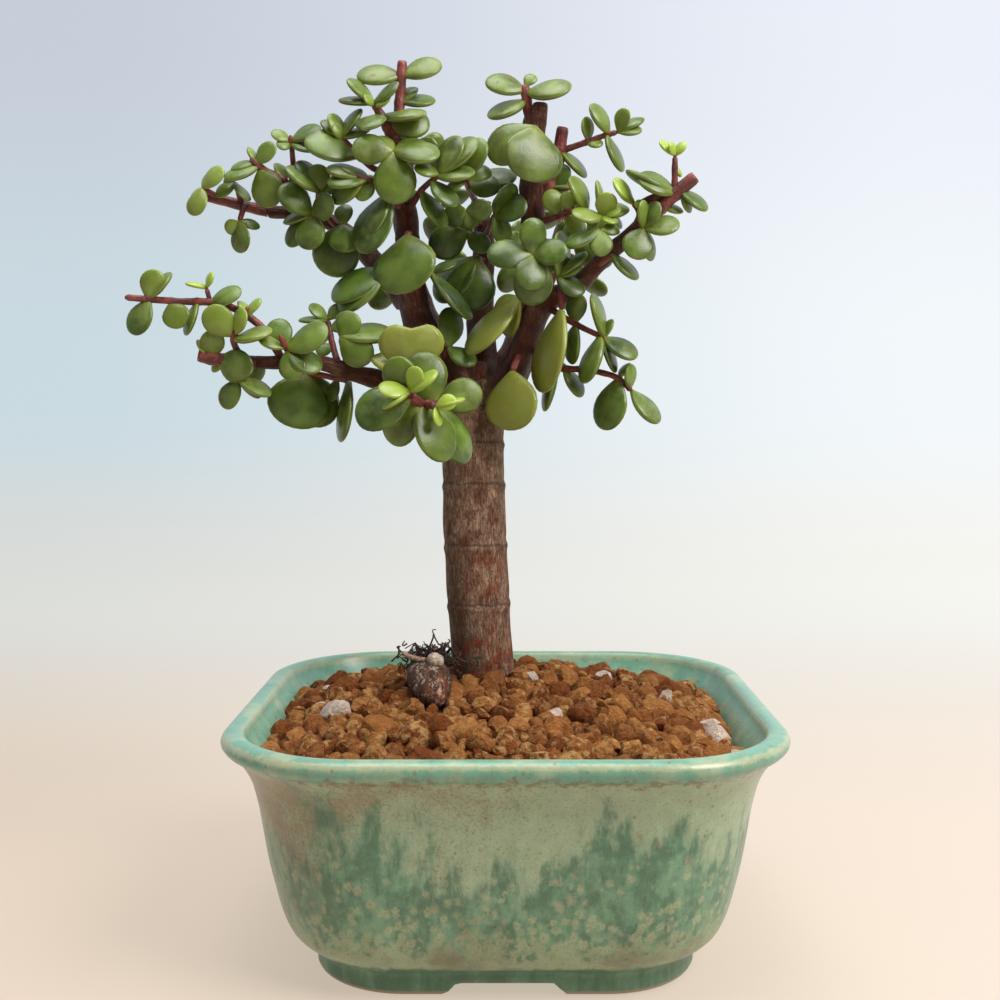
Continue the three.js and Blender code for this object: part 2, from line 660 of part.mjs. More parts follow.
function drainHole(x) {
  const geometry = new THREE.CylinderGeometry(POT.drainRadius, POT.drainRadius, 30, 16);
  geometry.rotateX(Math.PI / 2);
  geometry.translate(x, 0, POT.floorTop);
  return solidOf(geometry);
}

function makePot() {
  const waist = POT_OUTSIDE[0][1];
  const bowl = pressed([[0, waist], ...POT_OUTSIDE, ...POT_INSIDE, [0, POT.floorTop]]);
  const outside = POT.apronHalfLength;
  const inside = outside - POT.apronThick;
  const apron = pressed([
    [inside, 0], [outside - 0.6, 0], [outside, 1], [outside, POT.apronHeight], [inside, POT.apronHeight],
    [inside, 0],
  ]);
  return bowl.add(apron).subtract(archCut(false)).subtract(archCut(true))
    .subtract(drainHole(POT.drainX)).subtract(drainHole(-POT.drainX));
}

// ---------------------------------------------------------------- mesh over each drain hole
function makeScreen(x) {
  const { size, thick, cells, bar } = SCREEN;
  const z = POT.floorTop + GAP + thick / 2;
  const pitch = (size - bar) / cells;
  let plate = box(size, size, thick, x, 0, z);
  for (let i = 0; i < cells; i += 1) {
    for (let j = 0; j < cells; j += 1) {
      const hx = x + (i - (cells - 1) / 2) * pitch;
      const hy = (j - (cells - 1) / 2) * pitch;
      plate = plate.subtract(box(pitch - bar, pitch - bar, 3 * thick, hx, hy, z));
    }
  }
  return plate;
}

// ---------------------------------------------------------------- soil
function soilHeight(x, y) {
  const across = Math.min(1, Math.abs(x + 2) / SOIL.reachX) ** 4.5;
  const reachY = y < SOIL.ridgeY ? SOIL.reachFront : SOIL.reachBack;
  const along = Math.min(1, Math.abs(y - SOIL.ridgeY) / reachY) ** 1.6;
  return SOIL.edgeHeight + SOIL.rise * (1 - across) * (1 - along);
}

// The granules as relief: a fine lattice whose points are each shifted and raised by a small draw.
function makeSoil(trunkRoom, stubRoom) {
  const length = 2 * POT.rimHalfLength;
  const stepsX = Math.round(length / SOIL.grain);
  const stepsY = Math.round((length - 10) / SOIL.grain);
  const geometry = new THREE.BoxGeometry(length, length - 10, 100, stepsX, stepsY, 1);
  const position = geometry.attributes.position;
  const draws = new Map();
  const random = seeded(11);
  for (let i = 0; i <= stepsX; i += 1) {
    for (let j = 0; j <= stepsY; j += 1) {
      draws.set(`${i},${j}`, [random() - 0.5, random() - 0.5, random() - 0.5]);
    }
  }
  for (let i = 0; i < position.count; i += 1) {
    if (position.getZ(i) > 0) {
      const x = position.getX(i);
      const y = position.getY(i);
      const column = Math.round((x / length + 0.5) * stepsX);
      const row = Math.round((y / (length - 10) + 0.5) * stepsY);
      const [dx, dy, dz] = draws.get(`${column},${row}`);
      const inner = column > 0 && column < stepsX && row > 0 && row < stepsY ? 1 : 0;
      const sx = x + inner * dx * 0.45 * SOIL.grain;
      const sy = y + inner * dy * 0.45 * SOIL.grain;
      position.setXYZ(i, sx, sy, soilHeight(sx, sy) + 2 * dz * SOIL.roughness);
    }
  }
  const relief = solidOf(geometry);
  const inside = [...POT_INSIDE].reverse().map(([halfLength, z]) => [halfLength - GAP, z]);
  const floor = POT.floorTop + GAP;
  const top = inside[inside.length - 1][0];
  inside[0] = [inside[0][0], floor];
  const room = pressed([[0, floor], ...inside, [top, 110], [0, 110]]);
  let soil = relief.intersect(room);
  for (const x of [-POT.drainX, POT.drainX]) {
    const wide = SCREEN.size + 2 * GAP;
    soil = soil.subtract(box(wide, wide, 2 * SCREEN.thick, x, 0, floor + SCREEN.thick / 2 + GAP / 2));
  }
  return largest(soil.subtract(trunkRoom).subtract(stubRoom));
}

// ---------------------------------------------------------------- trunk and boughs
function boughPath(points) {
  const centres = smoothPath(points, 10.5);
  const spans = [0];
  for (let i = 1; i < points.length; i += 1) {
    spans.push(spans[i - 1] + v3(points[i]).distanceTo(v3(points[i - 1])));
  }
  const whole = spans[spans.length - 1];
  const radii = centres.map((_, i) => {
    const place = (whole * i) / (centres.length - 1);
    let k = 1;
    while (k < spans.length - 1 && spans[k] < place) {
      k += 1;
    }
    const share = (place - spans[k - 1]) / (spans[k] - spans[k - 1]);
    return points[k - 1][3] + share * (points[k][3] - points[k - 1][3]);
  });
  return { centres, radii };
}

function trunkPath() {
  const heights = [TRUNK.foot, 66, 78, 88];
  for (const z of SCAR_HEIGHTS) {
    heights.push(z - 3, z, z + 1.4);
  }
  const centres = heights.map((z) => {
    const lean = TRUNK.sway * Math.sin((z - 80) / 45);
    return new THREE.Vector3(TRUNK.x - lean, TRUNK.y, z);
  });
  const radii = heights.map((z) => {
    const onScar = SCAR_HEIGHTS.includes(z);
    const aboveScar = SCAR_HEIGHTS.some((s) => Math.abs(z - s - 1.4) < 0.01);
    return TRUNK.radius + (onScar ? TRUNK.scar : 0) - (aboveScar ? 0.25 : 0);
  });
  return { centres, radii };
}

function makeTrunk(extra) {
  const { centres, radii } = trunkPath();
  let wood = limb(centres, radii.map((r) => r + extra), TRUNK.sides, 0.02, 5);
  for (const points of Object.values(BOUGHS)) {
    const path = boughPath(points);
    wood = wood.add(limb(path.centres, path.radii.map((r) => r + extra), 7, 0.03, 6));
  }
  return wood;
}

// The cut stump of an old root beside the trunk, with a few wiry roots curling out of it.
function makeRootStub(extra) {
  const stump = smoothPath([[-19, 4, 60], [-23, -1, 72], [-25, -7, 78], [-23, -13, 76], [-20, -17, 72]], 4.4);
  const widths = stump.map((_, i) => 7.4 - 0.24 * i + extra);
  let wood = limb(stump, widths, 8, 0.08, 9);
  const random = seeded(21);
  for (let i = 0; i < 4; i += 1) {
    const angle = -0.5 + 0.95 * i;
    const start = [-24, -6, 79];
    const reach = 6 + 3 * random();
    const back = 4 + reach * 0.5 * random();
    const middle = [start[0] + reach * Math.cos(angle), start[1] + back, 86 + 2 * random()];
    const end = [middle[0] + 4 * Math.cos(angle + 1), middle[1] + 3, 85 + 3 * random()];
    const strand = smoothPath([start, middle, end], 5);
    wood = wood.add(limb(strand, strand.map(() => 0.8 + extra), 4));
  }
  return wood;
}

// ---------------------------------------------------------------- leaves
// A leaf blade from its stem: where it starts, which way it reaches, and which way its face looks.
function leafFrame(origin, reach, turn, facing, share = LEAF.widthShare) {
  const length = reach.length();
  const along = reach.clone().normalize();
  const guide = Math.abs(along.dot(facing)) > 0.94 ? UP : facing;
  const flat = square(guide, along);
  const side = along.clone().cross(flat);
  const sign = side.z < -0.15 ? -1 : 1;
  const angle = THREE.MathUtils.degToRad(turn) * sign;
  const normal = flat.multiplyScalar(Math.cos(angle)).addScaledVector(side, Math.sin(angle)).normalize();
  return { origin, along, normal, length, share };
}

// The same leaf nodded by droop and swung sideways, and made smaller.
function bent(frame, droop, swing, size) {
  const across = frame.normal.clone().cross(frame.along);
  const nod = new THREE.Quaternion().setFromAxisAngle(across, THREE.MathUtils.degToRad(droop));
  const turn = new THREE.Quaternion().setFromAxisAngle(frame.normal, THREE.MathUtils.degToRad(swing));
  const along = frame.along.clone().applyQuaternion(turn).applyQuaternion(nod);
  const normal = frame.normal.clone().applyQuaternion(nod);
  return { ...frame, along, normal: square(normal, along), length: frame.length * size };
}

// The corners of the blade: its root and four more round its edge, then the swell of its two faces.
function leafCorners(frame) {
  const { origin, along, normal, length, share } = frame;
  const across = normal.clone().cross(along);
  const half = (share * length) / 2;
  const thick = THREE.MathUtils.clamp(LEAF.thickShare * length, LEAF.leastThick, LEAF.mostThick) / 2;
  const at = (u, w, n) => {
    const place = origin.clone().addScaledVector(along, u);
    return place.addScaledVector(across, w).addScaledVector(normal, n);
  };
  const edge = [at(-LEAF.rootDepth, 0, 0)];
  for (const [u, w] of [...LEAF_OUTLINE].reverse()) {
    edge.push(at(u * length, w * half, 0));
  }
  for (const [u, w] of LEAF_OUTLINE) {
    edge.push(at(u * length, -w * half, 0));
  }
  return [...edge, at(0.52 * length, 0, thick), at(0.52 * length, 0, -thick)];
}

// A convex body for the clearance test: its corners and the directions that may part it from another.
function leafBody(frame) {
  const corners = leafCorners(frame);
  const across = frame.normal.clone().cross(frame.along);
  const faces = [];
  const edge = corners.length - 2;
  for (const tip of corners.slice(edge)) {
    for (let i = 0; i < edge; i += 1) {
      const a = corners[i].clone().sub(tip);
      const b = corners[(i + 1) % edge].clone().sub(tip);
      faces.push(a.cross(b).normalize());
    }
  }
  return bodyOf(corners, faces, [frame.along, frame.normal, across]);
}

function limbBodies(centres, radii) {
  const bodies = [];
  for (let i = 1; i < centres.length; i += 1) {
    const along = centres[i].clone().sub(centres[i - 1]).normalize();
    const across = square(Math.abs(along.z) > 0.8 ? FRONT : UP, along);
    const other = along.clone().cross(across);
    const corners = [];
    const faces = [along];
    for (let k = 0; k < 6; k += 1) {
      const angle = (Math.PI * k) / 3;
      const out = across.clone().multiplyScalar(Math.cos(angle)).addScaledVector(other, Math.sin(angle));
      corners.push(centres[i - 1].clone().addScaledVector(out, radii[i - 1] * 1.1));
      corners.push(centres[i].clone().addScaledVector(out, radii[i] * 1.1));
      faces.push(out);
    }
    bodies.push(bodyOf(corners, faces, [along, across, other]));
  }
  return bodies;
}

function bodyOf(corners, faces, axes) {
  const middle = corners.reduce((sum, c) => sum.add(c), new THREE.Vector3()).divideScalar(corners.length);
  const reach = Math.max(...corners.map((c) => c.distanceTo(middle)));
  return { corners, faces, axes, middle, reach };
}

function span(corners, axis) {
  let low = Infinity;
  let high = -Infinity;
  for (const corner of corners) {
    const place = corner.dot(axis);
    low = Math.min(low, place);
    high = Math.max(high, place);
  }
  return [low, high];
}

// Two bodies are apart when some direction shows a clear gap between them.
function apart(a, b, clearance) {
  const between = b.middle.clone().sub(a.middle);
  if (between.length() > a.reach + b.reach + clearance) {
    return true;
  }
  const axes = [between.normalize(), ...a.faces, ...b.faces];
  for (const p of a.axes) {
    for (const q of b.axes) {
      const both = p.clone().cross(q);
      if (both.length() > 0.05) {
        axes.push(both.normalize());
      }
    }
  }
  return axes.some((axis) => {
    const [lowA, highA] = span(a.corners, axis);
    const [lowB, highB] = span(b.corners, axis);
    return Math.max(lowA - highB, lowB - highA) > clearance;
  });
}

// ---------------------------------------------------------------- sprays
function stemPath(stem, radius = [1.1, 0.8]) {
  const centres = smoothPath(stem, 12);
  const last = centres.length - 1;
  const radii = centres.map((_, i) => radius[0] + ((radius[1] - radius[0]) * i) / last);
  const curve = new THREE.CatmullRomCurve3(stem.map(v3));
  return { centres, radii, curve };
}

function listedLeaves(spray) {
  const { curve } = stemPath(spray.stem, spray.radius);
  return (spray.leaves ?? []).map(([place, x, y, z, turn, share]) => {
    const origin = curve.getPointAt(place);
    return leafFrame(origin, new THREE.Vector3(x, y, z), turn, FRONT, share);
  });
}

function pairedLeaves(spray, random) {
  const { curve } = stemPath(spray.stem);
  const frames = [];
  for (let pair = 0; pair < spray.pairs; pair += 1) {
    const place = 0.45 + (0.55 * pair) / (spray.pairs - 1);
    const origin = curve.getPointAt(place);
    const along = curve.getTangentAt(place);
    const level = square(UP, along);
    const side = along.clone().cross(level);
    const roll = (Math.PI / 2) * pair + 0.5 * (random() - 0.5) + 0.6;
    const out = level.multiplyScalar(Math.sin(roll)).addScaledVector(side, Math.cos(roll));
    const spread = THREE.MathUtils.degToRad(76 - 9 * pair + 12 * random());
    for (const sign of [1, -1]) {
      const length = spray.length * (1.06 - 0.1 * pair) * (0.88 + 0.24 * random());
      const reach = out.clone().multiplyScalar(sign * Math.sin(spread));
      reach.addScaledVector(along, Math.cos(spread));
      const blade = square(along, reach);
      frames.push({ origin, along: reach.clone(), normal: blade, length, share: LEAF.widthShare });
    }
  }
  return frames;
}

function makeSprays(boughRoom) {
  const all = { ...SPRAYS, ...BACK_SPRAYS };
  const names = Object.keys(all);
  const stems = {};
  const placed = [];
  const boughBodies = [];
  for (const points of Object.values(BOUGHS)) {
    const { centres, radii } = boughPath(points);
    boughBodies.push(...limbBodies(centres, radii));
  }
  const wood = trunkPath();
  boughBodies.push(...limbBodies(wood.centres, wood.radii));
  for (const name of names) {
    const parts = [all[name], ...(all[name].twigs ?? [])];
    stems[name] = parts.map((part) => stemPath(part.stem, part.radius));
  }
  const stemBodies = names.flatMap((name) => stems[name].flatMap(
    ({ centres, radii }) => limbBodies(centres, radii).map((body) => ({ name, body })),
  ));
  const random = seeded(7);
  const sprays = {};
  for (const name of names) {
    const spray = all[name];
    const parts = [spray, ...(spray.twigs ?? [])];
    const wanted = spray.pairs ? pairedLeaves(spray, random) : parts.flatMap(listedLeaves);
    const leaves = [];
    for (const frame of wanted) {
      const leaf = clearLeaf(frame, name, boughBodies, stemBodies, placed);
      if (leaf) {
        leaves.push(leaf.frame);
        placed.push({ name, body: leaf.body, origin: frame.origin });
      }
    }
    let solid = null;
    for (const { centres, radii } of stems[name]) {
      const stem = limb(centres, radii, 5);
      solid = solid ? solid.add(stem) : stem;
    }
    for (const frame of leaves) {
      solid = solid.add(solidOf(new ConvexGeometry(leafCorners(frame))));
    }
    sprays[name] = { solid: largest(solid.subtract(boughRoom)), leaves };
  }
  return sprays;
}

function clearLeaf(frame, name, boughBodies, stemBodies, placed) {
  for (const size of SIZES) {
    for (const [droop, swing] of BENDS) {
      const tried = bent(frame, droop, swing, size);
      const body = leafBody(tried);
      const free = boughBodies.every((other) => apart(body, other, LEAF_CLEARANCE))
        && stemBodies.every((other) => other.name === name || apart(body, other.body, LEAF_CLEARANCE))
        && placed.every((other) => {
          const sister = other.name === name;
          return (sister && other.origin.distanceTo(frame.origin) < SISTER_REACH)
            || apart(body, other.body, sister ? 0 : LEAF_CLEARANCE);
        });
      if (free) {
        return { frame: tried, body };
      }
    }
  }
  return null;
}

// ---------------------------------------------------------------- the whole
const FINISHES = {
  glaze: { color: 0x5f9a84, roughness: 0.3, metalness: 0 },
  plastic: { color: 0x2b2b2b, roughness: 0.7, metalness: 0 },
  soil: { color: 0x8a5a36, roughness: 0.95, metalness: 0 },
  bark: { color: 0x5b463b, roughness: 0.85, metalness: 0 },
  root: { color: 0x4a3226, roughness: 0.9, metalness: 0 },
  leaf: { color: 0x5c8a3a, roughness: 0.4, metalness: 0 },
};

function meshOf(name, solid, finish) {
  const geometry = geometryOf(solid);
  geometry.computeVertexNormals();
  const mesh = new THREE.Mesh(geometry, new THREE.MeshStandardMaterial(FINISHES[finish]));
  mesh.name = name;
  return mesh;
}

const bonsai = new THREE.Group();
const trunkRoom = makeTrunk(GAP);
const stubRoom = makeRootStub(GAP);
bonsai.add(meshOf('pot', makePot(), 'glaze'));
bonsai.add(meshOf('drain_screen_left', makeScreen(-POT.drainX), 'plastic'));
bonsai.add(meshOf('drain_screen_right', makeScreen(POT.drainX), 'plastic'));
bonsai.add(meshOf('soil', makeSoil(trunkRoom, stubRoom), 'soil'));
bonsai.add(meshOf('trunk', largest(makeTrunk(0)), 'bark'));
bonsai.add(meshOf('old_root_stub', largest(makeRootStub(0).subtract(trunkRoom)), 'root'));
for (const [name, spray] of Object.entries(makeSprays(trunkRoom))) {
  bonsai.add(meshOf(`spray_${name}`, spray.solid, 'leaf'));
}

// Put the origin at the bottom centre of the whole tree's box.
const extent = new THREE.Box3().setFromObject(bonsai);
const centre = extent.getCenter(new THREE.Vector3());
for (const mesh of bonsai.children) {
  mesh.position.set(-centre.x, -centre.y, 0);
}

export default bonsai;
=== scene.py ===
"""A dwarf jade bonsai in a glazed pot: the look of the tree, its soil and its pot.

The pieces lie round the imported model, which is loaded first as a fixed frame. Lengths in the
layout below are millimetres from the middle of the pot; every mesh is written in metres.
"""

import logging
import math
from collections.abc import Sequence
from dataclasses import dataclass, field
from enum import Enum

import bpy
import numpy as np
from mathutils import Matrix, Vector


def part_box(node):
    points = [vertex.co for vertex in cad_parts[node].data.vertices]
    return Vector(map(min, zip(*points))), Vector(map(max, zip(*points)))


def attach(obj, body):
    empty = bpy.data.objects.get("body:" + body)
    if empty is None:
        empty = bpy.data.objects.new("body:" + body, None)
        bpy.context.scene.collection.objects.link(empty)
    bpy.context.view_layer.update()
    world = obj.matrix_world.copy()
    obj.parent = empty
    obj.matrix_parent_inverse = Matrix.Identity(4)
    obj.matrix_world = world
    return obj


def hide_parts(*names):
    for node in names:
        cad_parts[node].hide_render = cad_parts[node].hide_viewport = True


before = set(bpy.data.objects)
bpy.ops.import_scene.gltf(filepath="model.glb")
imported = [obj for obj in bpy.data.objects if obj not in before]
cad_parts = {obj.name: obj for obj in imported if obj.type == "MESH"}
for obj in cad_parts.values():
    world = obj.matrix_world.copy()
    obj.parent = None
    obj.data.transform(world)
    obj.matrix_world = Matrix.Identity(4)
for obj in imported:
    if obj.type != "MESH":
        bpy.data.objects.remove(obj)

LOG = logging.getLogger("bonsai")

Array = np.ndarray
Pair = tuple[float, float]
Triple = tuple[float, float, float]
Quad = tuple[float, float, float, float]
Colour = tuple[float, float, float, float]

MM = 0.001
UP = np.array([0.0, 0.0, 1.0])
FRONT = np.array([0.0, -1.0, 0.0])


# ---------------------------------------------------------------- layout of the tree
@dataclass(frozen=True)
class Sprig:
    """A leafy stem: its path, its leaves and the twigs made alike.

    Attributes:
        path: Points of the stem's middle.
        leaves: Each leaf as place on the stem from 0 to 1, reach of its tip in x, y and z, turn of
            the blade from facing front in degrees, and width over length where it isn't the usual.
        radii: Radius of the stem at its start and its end.
        twigs: Side twigs.
    """

    path: tuple[Triple, ...]
    leaves: tuple[tuple[float, ...], ...] = ()
    radii: Pair = (1.1, 0.8)
    twigs: tuple["Sprig", ...] = ()


# Boughs: middle line and radius at each point.
BOUGHS: dict[str, tuple[Quad, ...]] = {
    "low_left": (
        (-11, 13, 163, 6), (-21, 8, 166, 4.2), (-34, 3, 169, 3.4), (-47, 0, 172, 2.7), (-56, -3, 175, 2.3),
        (-68, -5, 175, 2.2), (-76, -6, 175, 2.1),
    ),
    "central_left": (
        (-12, 14, 163, 7), (-20, 13, 175, 5.5), (-28, 12, 190, 5), (-30, 11, 207, 4.2), (-31, 11, 220, 3.6),
        (-33, 10, 233, 2.8), (-34, 9, 244, 2.2),
    ),
    "centre_right": (
        (1, 15, 169, 5.5), (6, 14, 181, 4.6), (8, 13, 195, 4.4), (9, 13, 214, 3.9), (8, 13, 229, 3.7),
        (9, 13, 242, 3), (11, 12, 256, 2.4),
    ),
    "right": (
        (-5, 14, 161, 7), (2, 12, 172, 4.6), (7, 10, 184, 4.2), (12, 8, 194, 3.8), (21, 5, 198, 3),
        (28, 3, 205, 2.6), (36, 1, 212, 2.4), (44, -1, 219, 2.3),
    ),
    "left_upper": (
        (-31, 14, 195, 4.2), (-42, 18, 208, 3.4), (-52, 21, 218, 2.8), (-62, 22, 223, 2.4),
        (-76, 21, 224, 2),
    ),
    "middle": (
        (-9, 20, 163, 6.5), (-8, 24, 180, 5), (-8, 27, 200, 4.2), (-7, 29, 218, 3.2), (-9, 30, 229, 2.4),
    ),
    "back_left": ((-13, 22, 164, 5), (-23, 34, 184, 4), (-32, 46, 208, 3.2), (-37, 54, 228, 2.4)),
    "back_right": ((-5, 22, 164, 5), (4, 34, 184, 4), (14, 44, 205, 3.2), (20, 50, 224, 2.4)),
    "top_stub": ((-10, 13, 162, 4.5), (-9, 13, 176, 3.1)),
}

